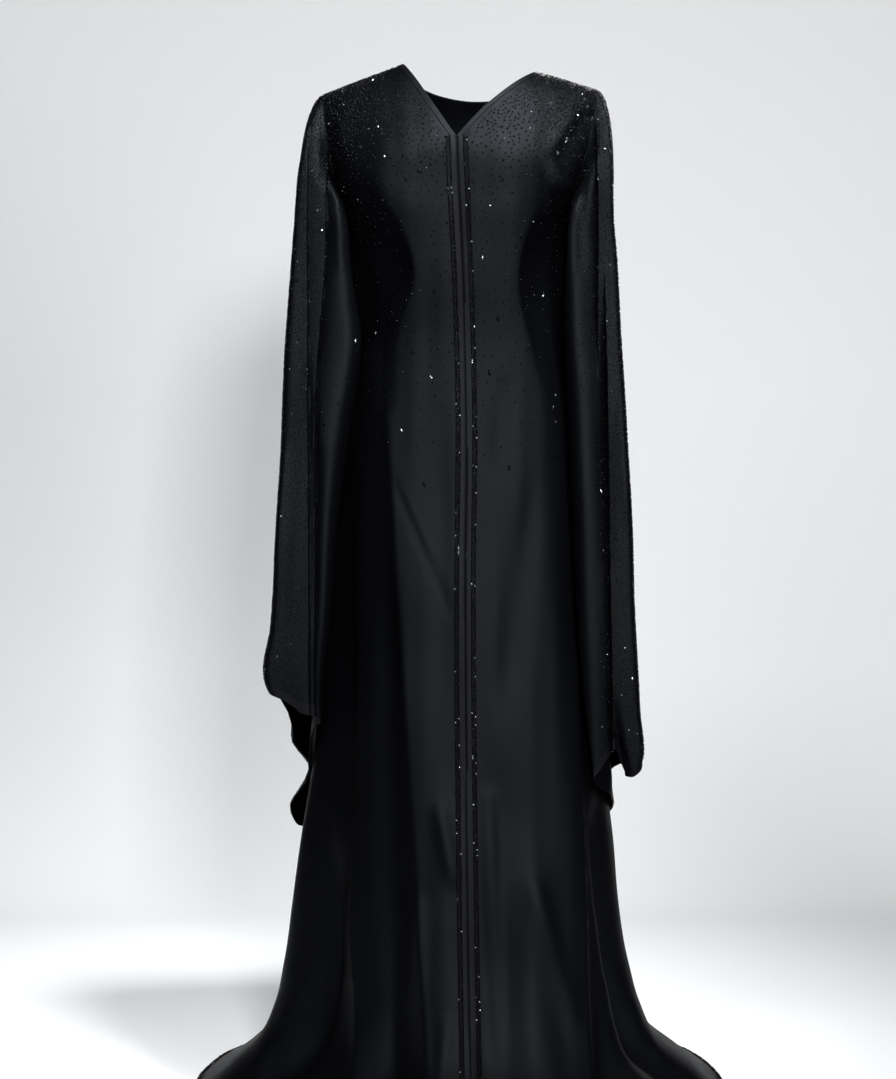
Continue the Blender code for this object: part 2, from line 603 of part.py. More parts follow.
def make_cloth(name, points, collection, colour, roughness, wall=WALL, offset=-1, closed=False):
    """One cloth piece: a grid bent to its points, with the wall given by Solidify."""
    rows, columns = points.shape[:2]
    mesh_maker = bmesh.new()
    bmesh.ops.create_grid(mesh_maker, x_segments=columns - 1, y_segments=rows - 1, size=1.0)
    for vertex in mesh_maker.verts:
        column = round((vertex.co.x + 1) / 2 * (columns - 1))
        row = round((vertex.co.y + 1) / 2 * (rows - 1))
        vertex.co = points[row, column]
    if closed:
        bmesh.ops.remove_doubles(mesh_maker, verts=mesh_maker.verts, dist=WELD)
    mesh_maker.normal_update()
    middle = points[..., :2].mean(axis=(0, 1)) if closed else (0.0, 0.0)
    facing = 0.0
    for face in mesh_maker.faces:
        centre = face.calc_center_median()
        spread = face.normal.x * (centre.x - middle[0]) + face.normal.y * (centre.y - middle[1])
        facing += spread * face.calc_area()
    if facing < 0:
        bmesh.ops.reverse_faces(mesh_maker, faces=mesh_maker.faces)
    mesh = bpy.data.meshes.new(name)
    mesh_maker.to_mesh(mesh)
    mesh_maker.free()
    mesh.shade_smooth()
    piece = bpy.data.objects.new(name, mesh)
    solidify = piece.modifiers.new("Wall", "SOLIDIFY")
    solidify.thickness = wall
    solidify.offset = offset
    mesh.materials.append(make_material(name, colour, roughness))
    collection.objects.link(piece)
    return piece


def make_front(side, collection):
    """One front, its half of the neckline border and its bead band."""
    word = "right" if side == RIGHT else "left"
    points = front_points(side)
    make_cloth("front_" + word, points, collection, CLOTH_COLOUR, 0.42)
    v_row = ARMHOLE_ROWS.index(V_DROP)
    lifted = raised(points, LAY_GAP)
    make_cloth(
        "neck_band_" + word, lifted[:v_row + 1, :2], collection, BORDER_COLOUR, 0.35,
        wall=BORDER_THICKNESS, offset=1,
    )
    make_cloth(
        "bead_band_" + word, lifted[v_row:, 1:3], collection, BEAD_COLOUR, 0.2,
        wall=BEAD_BAND_THICKNESS, offset=1,
    )
    return points


def make_back(collection):
    """The back and the border of its neckline."""
    points, scoop = back_points()
    make_cloth("back", points, collection, CLOTH_COLOUR, 0.42)
    neck = np.nonzero(scoop > 0)[0]
    lifted = raised(points, LAY_GAP)
    make_cloth(
        "neck_band_back", lifted[:2, neck[0] - 1:neck[-1] + 2], collection, BORDER_COLOUR, 0.35,
        wall=BORDER_THICKNESS, offset=1,
    )
    return points


def clear_scene():
    for piece in list(bpy.data.objects):
        bpy.data.objects.remove(piece, do_unlink=True)


def main():
    clear_scene()
    collection = bpy.data.collections.new("Abaya_cloak")
    bpy.context.scene.collection.children.link(collection)
    back = make_back(collection)
    for side, word in ((RIGHT, "right"), (LEFT, "left")):
        front = make_front(side, collection)
        sleeve = sleeve_points(side, front, back)
        make_cloth("sleeve_" + word, sleeve, collection, CLOTH_COLOUR, 0.42, closed=True)


main()
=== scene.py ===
"""Abaya cloak in black satin crepe with bead work, hollow as it is worn, before a pale curved wall.

Metres, +Z up, seen from -Y, which is the front. The wearer's right is on the -X side.
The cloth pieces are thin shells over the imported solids' own surfaces, divided more finely.
"""

import math

import bpy
import numpy as np
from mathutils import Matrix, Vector, kdtree

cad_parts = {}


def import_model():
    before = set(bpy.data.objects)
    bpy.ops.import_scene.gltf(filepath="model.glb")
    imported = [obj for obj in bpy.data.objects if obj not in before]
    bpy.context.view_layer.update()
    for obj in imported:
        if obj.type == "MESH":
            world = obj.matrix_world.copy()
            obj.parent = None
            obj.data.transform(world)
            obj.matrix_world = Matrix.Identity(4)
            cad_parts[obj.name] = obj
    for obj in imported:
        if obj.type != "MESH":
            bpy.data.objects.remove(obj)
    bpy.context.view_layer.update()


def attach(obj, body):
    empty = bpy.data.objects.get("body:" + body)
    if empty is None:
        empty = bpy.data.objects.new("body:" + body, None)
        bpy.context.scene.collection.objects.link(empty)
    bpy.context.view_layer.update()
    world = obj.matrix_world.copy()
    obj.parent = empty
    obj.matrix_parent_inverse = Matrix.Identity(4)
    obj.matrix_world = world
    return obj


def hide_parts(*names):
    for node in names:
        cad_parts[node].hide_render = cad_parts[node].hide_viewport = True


RIGHT = -1
LEFT = 1

# Least length that a direction is divided by, and the largest share of a half width
TINY = 1e-12
NEARLY_ONE = 0.9999

# Cloth and trim
SEAM_HALF_GAP = 0.00016
LAY_GAP = 0.0003
BORDER_WIDTH = 0.008
BEAD_BAND_WIDTH = 0.007

# Shoulders and neck: x and z of the neck ends of the shoulder seams, and the seam slopes
NECK_RIGHT_X = -0.083
NECK_RIGHT_Z = 0.007
NECK_LEFT_X = 0.113
NECK_LEFT_Z = -0.004
SLOPE_RIGHT = 0.38
SLOPE_LEFT = -0.30
SHOULDER_FADE = 0.20
SHOULDER_FADE_POWER = 1.5
SHOULDER_ROUND = 0.15
V_DROP = 0.120
V_X = -0.006
NECKLINE_STEPS = 6
LEFT_NECK_BOW = 0.009
BACK_NECK_DROP = 0.045
BACK_NECK_POWER = 0.6

# Armhole, from the shoulder point to the underarm
UNDERARM_DROP = 0.20
ARMHOLE_SPAN = 28.0
ARMHOLE_ROUND = 3.0

HEM_DROP = 1.474

# Body sections: half widths to each side, depths in front and behind, and how square they are
SECTION_COLUMNS = ("drop", "right_half", "left_half", "front_depth", "back_depth", "squareness")
BODY_SECTIONS = (
    (0.000, 0.212, 0.212, 0.096, 0.092, 2.6),
    (0.050, 0.208, 0.206, 0.098, 0.096, 2.6),
    (0.100, 0.198, 0.194, 0.104, 0.100, 2.6),
    (0.150, 0.182, 0.176, 0.114, 0.102, 2.5),
    (0.200, 0.168, 0.160, 0.121, 0.102, 2.4),
    (0.280, 0.165, 0.158, 0.123, 0.099, 2.3),
    (0.400, 0.155, 0.157, 0.113, 0.096, 2.2),
    (0.510, 0.166, 0.162, 0.117, 0.112, 2.2),
    (0.650, 0.183, 0.170, 0.130, 0.132, 2.2),
    (0.830, 0.197, 0.182, 0.148, 0.150, 2.2),
    (1.000, 0.213, 0.207, 0.168, 0.172, 2.2),
    (1.120, 0.231, 0.222, 0.186, 0.190, 2.2),
    (1.200, 0.243, 0.229, 0.200, 0.205, 2.2),
    (1.290, 0.255, 0.242, 0.218, 0.229, 2.2),
    (1.350, 0.268, 0.260, 0.236, 0.256, 2.2),
    (1.400, 0.292, 0.288, 0.262, 0.300, 2.3),
    (1.435, 0.330, 0.334, 0.294, 0.352, 2.3),
    (1.460, 0.362, 0.364, 0.326, 0.408, 2.4),
    (1.475, 0.388, 0.388, 0.352, 0.455, 2.4),
)

# The fronts hang flatter than the back from about this drop down
FRONT_FLATNESS = 0.8
FLATNESS_START = 0.12
FLATNESS_SPAN = 0.10

# Closing edge of the two fronts, which leans a little as it hangs
CENTRE_COLUMNS = ("drop", "x")
CENTRE_LINE = (
    (0.10, -0.006),
    (0.20, -0.002),
    (0.33, 0.004),
    (0.48, 0.008),
    (0.77, 0.006),
    (1.13, 0.009),
    (1.475, 0.014),
)

# Rounded forms of bust and waist on the fronts: x, drop, half width, half height and height
BODY_FORMS = (
    (-0.086, 0.178, 0.044, 0.050, 0.019),
    (0.064, 0.188, 0.044, 0.050, 0.013),
    (-0.134, 0.315, 0.030, 0.075, -0.012),
    (0.142, 0.310, 0.028, 0.075, -0.012),
)
FORM_EDGE = 0.3

# Long folds of the skirt, outward where the height is positive: the face, the first and last
# drop, the first and last place as shares of the half width on that side, the first and last
# width in degrees, and the first and last height
BODY_FOLDS = (
    ("front", 0.70, 1.52, -0.560, -0.330, 5.0, 4.5, -0.003, -0.010),
    ("front", 1.06, 1.52, -0.900, -0.940, 6.0, 6.0, -0.008, -0.034),
    ("front", 0.56, 0.90, 0.590, 0.350, 4.5, 4.5, -0.005, -0.005),
    ("front", 0.90, 1.52, 0.930, 0.760, 5.0, 4.5, 0.006, 0.022),
    ("front", 0.98, 1.52, 0.880, 0.960, 5.0, 5.5, -0.010, -0.038),
    ("front", 0.98, 1.52, -0.070, -0.030, 4.5, 4.0, 0.003, 0.006),
    ("front", 0.95, 1.52, 0.250, 0.160, 5.0, 4.5, -0.003, -0.009),
    ("front", 1.05, 1.52, 0.460, 0.300, 5.0, 4.5, 0.003, 0.010),
    ("back", 0.46, 1.52, -0.800, -0.700, 8.0, 7.0, -0.008, -0.036),
    ("back", 0.42, 1.52, -0.570, -0.490, 7.0, 6.0, 0.008, 0.034),
    ("back", 0.48, 1.52, -0.310, -0.270, 7.0, 6.0, -0.010, -0.036),
    ("back", 0.40, 1.52, -0.030, -0.040, 8.0, 6.5, 0.008, 0.028),
    ("back", 0.50, 1.52, 0.280, 0.190, 7.0, 6.0, -0.009, -0.034),
    ("back", 0.44, 1.52, 0.560, 0.430, 7.0, 6.0, 0.009, 0.032),
    ("back", 0.52, 1.52, 0.780, 0.680, 7.0, 6.5, -0.008, -0.036),
)
FOLD_FADE = 0.12
FOLD_END = 0.4
DEEPEST_FOLD = -0.01
SEAM_CALM = 8.0

# Edges of the broad front panel: the cloth falls back from each on one side.  Along its
# length each has its x, how far back the cloth falls, and over which width
PANEL_COLUMNS = ("drop", "x", "depth", "width")
FRONT_EDGES = (
    (RIGHT, (
        (0.340, -0.1160, 0.000, 0.030), (0.400, -0.1120, 0.010, 0.030), (0.582, -0.0983, 0.020, 0.032),
        (0.853, -0.0830, 0.034, 0.034), (1.143, -0.0634, 0.054, 0.046), (1.365, -0.0480, 0.068, 0.056),
        (1.475, -0.0420, 0.072, 0.062),
    )),
    (RIGHT, (
        (0.560, -0.1590, 0.000, 0.010), (0.660, -0.1653, 0.006, 0.010), (0.950, -0.1790, 0.010, 0.012),
        (1.239, -0.1946, 0.014, 0.016), (1.370, -0.1900, 0.018, 0.020), (1.475, -0.1850, 0.020, 0.024),
    )),
    (LEFT, (
        (0.440, 0.1480, 0.000, 0.010), (0.579, 0.1510, 0.008, 0.010), (0.772, 0.1610, 0.012, 0.011),
        (1.062, 0.1737, 0.026, 0.010), (1.200, 0.1760, 0.036, 0.014), (1.360, 0.1780, 0.040, 0.020),
        (1.475, 0.1820, 0.040, 0.024),
    )),
    (RIGHT, (
        (0.190, -0.1080, 0.000, 0.030), (0.250, -0.0800, 0.016, 0.026), (0.310, -0.0660, 0.022, 0.026),
        (0.380, -0.0860, 0.010, 0.028), (0.450, -0.1000, 0.000, 0.030),
    )),
    (LEFT, (
        (0.200, 0.1120, 0.000, 0.030), (0.260, 0.0900, 0.020, 0.026), (0.330, 0.0840, 0.026, 0.026),
        (0.410, 0.1020, 0.014, 0.028), (0.490, 0.1180, 0.000, 0.030),
    )),
)
EDGE_SOFTNESS = 0.002
PANEL_FADE = 0.65

# Sleeve sections below the underarm: how far out they reach, where the front part ends
# towards the body, and their depths in front and behind
SLEEVE_COLUMNS = ("drop", "outer", "inner", "front_depth", "back_depth")
SLEEVE_SECTIONS = {
    RIGHT: (
        (0.230, 0.239, 0.156, 0.092, 0.092),
        (0.280, 0.243, 0.157, 0.100, 0.100),
        (0.340, 0.248, 0.152, 0.108, 0.108),
        (0.400, 0.252, 0.144, 0.114, 0.114),
        (0.450, 0.254, 0.150, 0.117, 0.118),
        (0.510, 0.257, 0.161, 0.120, 0.122),
        (0.650, 0.265, 0.179, 0.126, 0.132),
        (0.800, 0.273, 0.189, 0.131, 0.142),
        (0.885, 0.280, 0.198, 0.134, 0.148),
        (0.915, 0.264, 0.200, 0.134, 0.149),
        (0.945, 0.2535, 0.202, 0.134, 0.150),
        (0.985, 0.2525, 0.203, 0.132, 0.150),
        (1.018, 0.226, 0.201, 0.130, 0.150),
        (1.045, 0.2375, 0.201, 0.128, 0.149),
        (1.076, 0.2556, 0.203, 0.126, 0.147),
        (1.106, 0.2496, 0.206, 0.124, 0.145),
        (1.130, 0.2405, 0.208, 0.122, 0.143),
    ),
    LEFT: (
        (0.230, 0.222, 0.151, 0.090, 0.090),
        (0.280, 0.226, 0.151, 0.098, 0.098),
        (0.400, 0.233, 0.153, 0.110, 0.110),
        (0.510, 0.240, 0.158, 0.116, 0.120),
        (0.650, 0.247, 0.163, 0.122, 0.132),
        (0.800, 0.253, 0.167, 0.127, 0.142),
        (0.920, 0.259, 0.171, 0.131, 0.148),
        (0.990, 0.2625, 0.174, 0.133, 0.150),
        (1.004, 0.258, 0.175, 0.133, 0.150),
        (1.020, 0.233, 0.177, 0.133, 0.150),
        (1.060, 0.231, 0.180, 0.132, 0.148),
        (1.145, 0.230, 0.187, 0.128, 0.142),
    ),
}
SLEEVE_TOP = 0.23
SLEEVE_SQUARENESS = 3.8
SLEEVE_FRONT_SQUARENESS = 18.0
SLEEVE_FRONT_TAPER = 0.30
SLEEVE_CLEARANCE = 0.006
SLEEVE_SOFTNESS = 0.004
SLEEVE_WRAP = 0.012
SLEEVE_WRAP_START = 0.19
SLEEVE_WRAP_SPAN = 0.06
UNDERARM_BLEND = 0.012
FACE_BLEND = 1.6

# Cuff line: drop of the open edge at each angle (0 outer, 90 front, 180 inner, 270 back)
CUFF_COLUMNS = ("around", "drop")
CUFF_LINES = {
    RIGHT: (
        (-60.0, 1.115), (-40.0, 1.095), (-24.0, 1.015), (-9.0, 0.912), (0.0, 0.886), (30.0, 0.888),
        (60.0, 0.905), (90.0, 0.920), (125.0, 0.930), (160.0, 0.965), (190.0, 1.020), (215.0, 1.075),
        (240.0, 1.112), (270.0, 1.127), (300.0, 1.115), (320.0, 1.095), (336.0, 1.015), (351.0, 0.912),
        (360.0, 0.886), (390.0, 0.888),
    ),
    LEFT: (
        (-60.0, 1.100), (-40.0, 1.040), (-25.0, 1.012), (0.0, 1.002), (25.0, 1.003), (58.0, 1.008),
        (72.0, 0.992), (85.0, 0.972), (97.0, 0.984), (115.0, 1.010), (150.0, 1.046), (180.0, 1.066),
        (215.0, 1.098), (245.0, 1.130), (275.0, 1.142), (300.0, 1.100), (320.0, 1.040), (335.0, 1.012),
        (360.0, 1.002), (385.0, 1.003),
    ),
}

# Pleats that part the sleeves into hanging strips: the face, the first and last drop, the
# first and last place, the width and the depth.  The place is x on the front and back faces,
# measured away from the centre, and y on the outer face
SLEEVE_PLEATS = {
    RIGHT: (
        ("back", 0.10, 1.03, 0.2080, 0.2180, 0.0100, 0.020),
        ("back", 0.20, 1.00, 0.1800, 0.1900, 0.0100, 0.012),
        ("outer", 0.20, 1.20, -0.0300, -0.0450, 0.0200, 0.008),
        ("outer", 0.26, 1.20, 0.0500, 0.0600, 0.0220, 0.010),
    ),
    LEFT: (
        ("front", 0.89, 1.08, 0.2085, 0.2390, 0.0040, 0.016),
        ("back", 0.10, 1.20, 0.1980, 0.2140, 0.0100, 0.020),
        ("back", 0.22, 1.00, 0.1720, 0.1840, 0.0100, 0.012),
        ("outer", 0.18, 1.20, -0.0250, -0.0400, 0.0200, 0.009),
        ("outer", 0.28, 1.20, 0.0550, 0.0650, 0.0220, 0.008),
    ),
}
PLEAT_FADE = 0.10
PLEAT_END = 0.1

# Folds down the sleeves' front faces: the cloth on the body side of each line lies deeper,
# and comes forward again over the given width
STRIP_COLUMNS = ("drop", "place", "depth", "width")
SLEEVE_STRIPS = {
    RIGHT: (
        ((0.060, 0.2160, 0.000, 0.030), (0.140, 0.2155, 0.006, 0.030), (0.500, 0.2125, 0.008, 0.030),
         (1.130, 0.2080, 0.008, 0.030)),
        ((0.110, 0.1880, 0.000, 0.012), (0.170, 0.1890, 0.009, 0.012), (0.300, 0.1905, 0.012, 0.014),
         (0.450, 0.2010, 0.014, 0.018), (0.700, 0.2025, 0.014, 0.016), (1.130, 0.2020, 0.012, 0.012)),
    ),
    LEFT: (
        ((0.080, 0.1935, 0.000, 0.026), (0.150, 0.1935, 0.013, 0.026), (0.360, 0.1925, 0.014, 0.026),
         (0.450, 0.1925, 0.000, 0.026)),
        ((0.300, 0.2020, 0.000, 0.026), (0.400, 0.2035, 0.017, 0.026), (0.750, 0.2085, 0.019, 0.026),
         (1.145, 0.2140, 0.019, 0.026)),
    ),
}
STRIP_EDGE = 0.0008

# How finely the surfaces are divided
ARMHOLE_ROWS = (0.0, 0.0002, 0.009, 0.032, 0.060, 0.090, 0.120, 0.145, 0.168, 0.185, 0.195, 0.20)
SKIRT_ROWS = (
    0.235, 0.28, 0.34, 0.41, 0.49, 0.58, 0.68, 0.78, 0.88, 0.98, 1.08, 1.17, 1.25, 1.32,
    1.37, 1.405, 1.432, 1.452, 1.465, HEM_DROP,
)
SLEEVE_ANGLES = (
    0, 20, 38, 50, 58, 65, 71, 77, 83, 89, 95, 101, 107, 113, 120, 128, 138, 150, 165,
    180, 195, 212, 229, 246, 262, 278, 294, 311, 328, 344, 360,
)

# How the sleeve leaves the armhole and arrives at its hanging part: directions and pulls
LEAVE_SPREAD = 0.45
LEAVE_FALL = 0.35
LEAVE_LIFT = 0.05
LEAVE_PULL = 0.35
LEAVE_LEAST_PULL = 0.012
ARRIVE_PULL = 1.05
SLEEVE_LOFT_STEPS = (0.0, 0.03, 0.10, 0.22, 0.36, 0.54, 0.76)

# Division of the fine cloth grids
SHELL = 0.0008
RIM_ANGLE = math.radians(62.0)
BODY_ROW_PITCH = 0.0080
TOP_ROW_DROP = 0.005
SPREAD_DROP = 1.30
FLOOR_ROW_SHARE = 0.7
EDGE_COLUMNS = 3
EDGE_TURN = 0.0009
EDGE_TURN_DEPTH = 0.0016
FINE_FRONT_COLUMNS = 88
FINE_BACK_COLUMNS = 128
SLEEVE_COLUMN_SPLIT = 5
SLEEVE_ROW_SPLIT = 6
FINE_HANG_ROWS = 68
CUFF_ROWS_START = 0.96
CUFF_ROWS = 9
TOP_DROP = 0.0005

# Nearest to the middle line, the cloth is shifted as if it were this far away
BODY_LEAST_RADIUS = 0.01
RELIEF_LEAST_RADIUS = 0.02

# Where the creases and ripples begin, below the shoulder
RELIEF_START = 0.06
SLEEVE_RELIEF_START = 0.06
SLEEVE_RELIEF_SPAN = 0.08

# Short creases pressed into each face over its long folds: both ends in its front view (x or
# distance from the middle, and drop), the half width and the outward height
CREASE_TAPER = 0.5
CREASES = {
    "front": (
        (-0.095, 0.594, -0.014, 0.783, 0.0045, -0.0013),
        (-0.086, 0.600, -0.034, 0.712, 0.0035, 0.0009),
        (-0.029, 1.046, -0.010, 1.146, 0.008, 0.0045),
        (0.038, 1.036, 0.050, 1.400, 0.009, 0.0055),
        (0.127, 0.150, 0.148, 0.190, 0.007, 0.0090),
        (0.140, 0.190, 0.152, 0.240, 0.010, -0.0080),
        (0.190, 0.050, 0.132, 0.165, 0.010, -0.0050),
        (0.172, 0.045, 0.120, 0.150, 0.008, 0.0030),
        (-0.110, 0.335, -0.105, 0.500, 0.008, -0.0035),
        (0.062, 0.460, 0.055, 0.580, 0.010, -0.0030),
        (-0.165, 0.050, -0.168, 0.120, 0.008, 0.0035),
        (-0.138, 0.290, -0.125, 0.410, 0.008, -0.0050),
        (-0.170, 1.055, -0.148, 1.290, 0.008, 0.0045),
        (0.100, 1.150, 0.150, 1.330, 0.010, 0.0045),
        (-0.060, 1.180, -0.072, 1.440, 0.009, 0.0050),
        (0.210, 1.300, 0.290, 1.420, 0.010, 0.0050),
        (-0.200, 1.290, -0.290, 1.430, 0.010, 0.0050),
        (-0.020, 1.330, -0.032, 1.460, 0.007, 0.0035),
        (0.012, 1.350, 0.020, 1.462, 0.006, 0.0030),
    ),
    "back": (
        (-0.100, 0.060, -0.070, 0.190, 0.012, -0.0040),
        (0.120, 0.055, 0.086, 0.180, 0.011, -0.0040),
        (0.030, 0.130, 0.020, 0.330, 0.014, -0.0035),
        (-0.060, 0.420, -0.010, 0.560, 0.010, -0.0045),
        (0.075, 0.480, 0.020, 0.640, 0.010, 0.0040),
        (0.100, 0.720, 0.120, 0.980, 0.011, -0.0050),
        (-0.110, 0.760, -0.135, 1.010, 0.010, 0.0045),
        (-0.020, 1.020, -0.045, 1.300, 0.012, 0.0050),
        (0.160, 1.180, 0.215, 1.400, 0.011, -0.0050),
        (-0.215, 1.190, -0.280, 1.410, 0.011, -0.0050),
    ),
    "sleeve_right": (
        (0.176, 0.180, 0.168, 0.300, 0.006, 0.0030),
        (0.166, 0.200, 0.150, 0.270, 0.005, -0.0035),
        (0.205, 0.420, 0.198, 0.560, 0.007, 0.0030),
        (0.252, 0.560, 0.262, 0.740, 0.008, 0.0030),
    ),
    "sleeve_left": (
        (0.190, 0.140, 0.176, 0.260, 0.006, 0.0030),
        (0.176, 0.170, 0.168, 0.300, 0.006, -0.0035),
        (0.226, 0.460, 0.232, 0.640, 0.008, 0.0035),
        (0.202, 0.520, 0.206, 0.720, 0.007, -0.0030),
    ),
    "sleeve_right_side": (
        (-0.030, 0.420, -0.040, 0.620, 0.010, -0.0040),
        (0.045, 0.360, 0.060, 0.560, 0.011, 0.0035),
    ),
    "sleeve_left_side": (
        (-0.025, 0.380, -0.036, 0.590, 0.010, -0.0040),
        (0.050, 0.440, 0.066, 0.640, 0.011, 0.0035),
    ),
}

# Slow unevenness of the hanging cloth: waves per metre across x and y and down, phase, height
RIPPLES = (
    (141.0, 0.0, 6.0, 0.2, 0.00028),
    (203.0, 35.0, -11.0, 0.9, 0.00016),
    (61.0, 22.0, 5.0, 0.6, 0.00045),
    (97.0, -41.0, 9.0, 2.1, 0.00030),
    (34.0, 53.0, 17.0, 4.0, 0.00050),
    (13.0, 11.0, 31.0, 1.3, 0.00040),
)

# Faceted shape of a bead: its sides, and its upper radius and height as shares of its radius
BEAD_SHAPE = (5, 0.5, 0.9)
ROW_BEAD_SHAPE = (6, 0.55, 1.05)

# Bead work: sizes, places for each square metre, and how it thins out down the garment
BEAD_RADIUS = 0.0015
SLEEVE_BEAD_RADIUS = 0.0012
BEAD_TILT = 0.42
BEAD_SIZES = (0.8, 1.15)
ROW_BEAD_SIZES = (0.88, 1.12)
SILVER_SHARE = 0.014
SILVER_SCALE = 0.72
SOW_SURPLUS = 1.9
SOW_SPACING = 0.80
STRIP_BEADS = 62000.0
STRIP_WIDTH = 0.030
INNER_SLEEVE_BEADS = 3500.0
SHOULDER_BEADS = 38000.0
SHOULDER_BEAD_DROP = 0.075
SHOULDER_BEAD_FADE = 0.045
CHEST_BEADS = 7200.0
CHEST_BEAD_DROP = 0.30
CHEST_BEAD_FADE = 0.34
BAND_BEAD_RADIUS = 0.0014
BAND_BEAD_PITCH = 0.0037
BAND_SILVER_SHARE = 0.05
HEM_BEAD_PITCH = 0.0040
HEM_BEAD_RADIUS = 0.0015
HEM_SILVER_SHARE = 0.04
PATH_END = 0.3

# Rows of beads: their grid places across the band and above the hem, and their unevenness
BAND_ROW_PLACES = (0.5, 2.5)
HEM_ROW_PLACES = (0.35, 0.85)
ROW_TURN = 0.5
ROW_TILT = 0.45
ROW_JITTER = 0.00022
STONE_TURN = 0.35
STONE_FACING = 0.15

# Rows of a sleeve's grid that carry sown beads, from the armhole to the cuff's edge
SLEEVE_BEAD_ROWS = slice(3, -6)

# Where bead work begins or ends: a place, drop or cosine of the turn, and the span it takes
SIDE_BEADS = 1.2
SIDE_BEADS_START = (0.10, 0.05)
SIDE_BEADS_END = (0.20, 0.15)
STRIP_BEAD_EDGE = 0.004
STRIP_TURN = (-0.35, 0.3)
SECOND_STRIP_SHARE = 0.75
SECOND_STRIP_PLACE = (-STRIP_WIDTH, 0.006)
SECOND_STRIP_END = (0.30, 0.26)
SECOND_STRIP_TURN = (-0.8, 0.4)
INNER_BEADS_END = (0.55, 0.25)
INNER_TURN = (-1.0, 0.3)
SLEEVE_TOP_END = (0.16, 0.10)

# Seeds; to those of paired pieces the side is added
BAND_SEED = 31
HEM_SEED = 41
BACK_HEM_SEED = 47
FRONT_SEED = 51
BACK_SEED = 57
SLEEVE_SEED = 61
STONE_SEED = 71

# The longer stones by look and by the piece they sit on: x, drop and length
STONE_SIZE = (0.010, 0.0040, 0.0022)
SILVER_STONE_SCALE = 0.62
STONES = {
    "black": {
        "front_left": (
            (0.041, 0.449, 0.011), (0.068, 0.580, 0.010), (0.052, 0.370, 0.010),
            (0.084, 0.255, 0.010), (0.096, 0.410, 0.009), (0.060, 0.180, 0.009),
            (0.131, 0.500, 0.009),
        ),
        "front_right": (
            (-0.057, 0.165, 0.011), (-0.077, 0.178, 0.010), (-0.100, 0.250, 0.010),
            (-0.036, 0.330, 0.009), (-0.068, 0.420, 0.009), (-0.140, 0.130, 0.010),
            (-0.050, 0.600, 0.009),
        ),
        "back": (
            (-0.060, 0.150, 0.010), (0.070, 0.160, 0.010), (-0.100, 0.280, 0.009),
            (0.105, 0.310, 0.009), (-0.030, 0.400, 0.009),
        ),
        "sleeve_right": (
            (-0.190, 0.520, 0.010), (-0.230, 0.320, 0.010),
        ),
        "sleeve_left": (
            (0.207, 0.814, 0.010), (0.222, 0.420, 0.010),
        ),
    },
    "silver": {
        "front_left": (
            (0.119, 0.330, 0.009), (0.030, 0.290, 0.009), (0.150, 0.120, 0.009),
        ),
        "front_right": (
            (-0.041, 0.452, 0.009), (-0.084, 0.527, 0.009), (-0.120, 0.390, 0.009),
            (-0.115, 0.100, 0.009),
        ),
        "back": (
            (0.010, 0.240, 0.010), (0.050, 0.450, 0.009),
        ),
        "sleeve_right": (
            (-0.147, 0.403, 0.010),
        ),
        "sleeve_left": (
            (0.196, 0.610, 0.010),
        ),
    },
}

# Narrow plain edges, their thickness above the cloth, and the lines of stitches
NECK_BORDER_RISE = 0.0005
CLOSING_BORDER_RISE = 0.0002
RIBBON_RISE = 0.0003
BACK_BORDER_RISE = 0.0009
BACK_NECK_START = 0.0002
BACK_NECK_MARGIN = 0.3
BACK_NECK_COLUMNS = 61
BACK_NECK_ROWS = 4
BACK_NECK_NARROWEST = 0.05
CUFF_EDGE = 0.016
CUFF_EDGE_ROWS = 6
CUFF_SEARCH_ROWS = 16
CUFF_EDGE_RISE = 0.0005
HEM_EDGE = 0.010
HEM_EDGE_RISE = 0.0006
STITCH_PITCH = 0.0030
STITCH_LENGTH = 0.0020
STITCH_WIDTH = 0.00035
STITCH_LIFT = 0.0001
EDGE_STITCH_LIFT = 0.0002
BORDER_STITCH_LIFT = 0.0009
ARMHOLE_STITCH_PITCH = 0.0034

# Look of the cloth and the studio
CLOTH_BASE = (0.0011, 0.0012, 0.0016)
CLOTH_ROUGHNESS = 0.45
CLOTH_GRAIN = 1500.0
CLOTH_IOR = 1.133
BORDER_BASE = (0.0024, 0.0024, 0.0032)
BORDER_ROUGHNESS = 0.43
BORDER_GRAIN = 1900.0
BLACK_GLASS = (0.0010, 0.0010, 0.0013)
FLOOR_Z = -1.4765
WALL_Y = 1.95
SWEEP = 0.5
SWEEP_STEPS = 13
WALL_COLOUR = (0.80, 0.81, 0.82)
WALL_GLOW = 0.19
BACKDROP_HALF_WIDTH = 1.35
BACKDROP_FRONT_Y = -0.75
BACKDROP_TOP = 0.95
WORLD_STRENGTH = 0.02
SENSOR_WIDTH = 36.0
CAMERA_LENS = 88.7
CAMERA_PLACE = (-0.0174, -3.2, -0.6804)

# Lights: place, target, size, spread in degrees, power and colour
LIGHTS = (
    ("front", (0.30, -3.05, 0.18), (0.0, 0.0, -0.6), (0.40, 0.40), 180, 106.0, (1.0, 1.0, 1.0)),
    ("key", (1.55, -2.6, -0.10), (0.0, 0.0, -0.6), (0.7, 1.1), 180, 38.0, (1.0, 1.0, 1.0)),
    ("fill", (-1.15, -2.7, 0.90), (0.0, 0.0, -0.3), (1.0, 1.0), 180, 30.0, (0.97, 0.99, 1.0)),
    ("top", (0.50, -0.95, 1.80), (0.02, 0.0, -0.05), (0.4, 0.4), 40, 8.0, (0.95, 0.98, 1.0)),
    ("rear", (0.40, 1.15, 0.60), (0.0, 0.15, -0.45), (0.9, 0.3), 70, 4.0, (1.0, 1.0, 1.0)),
)


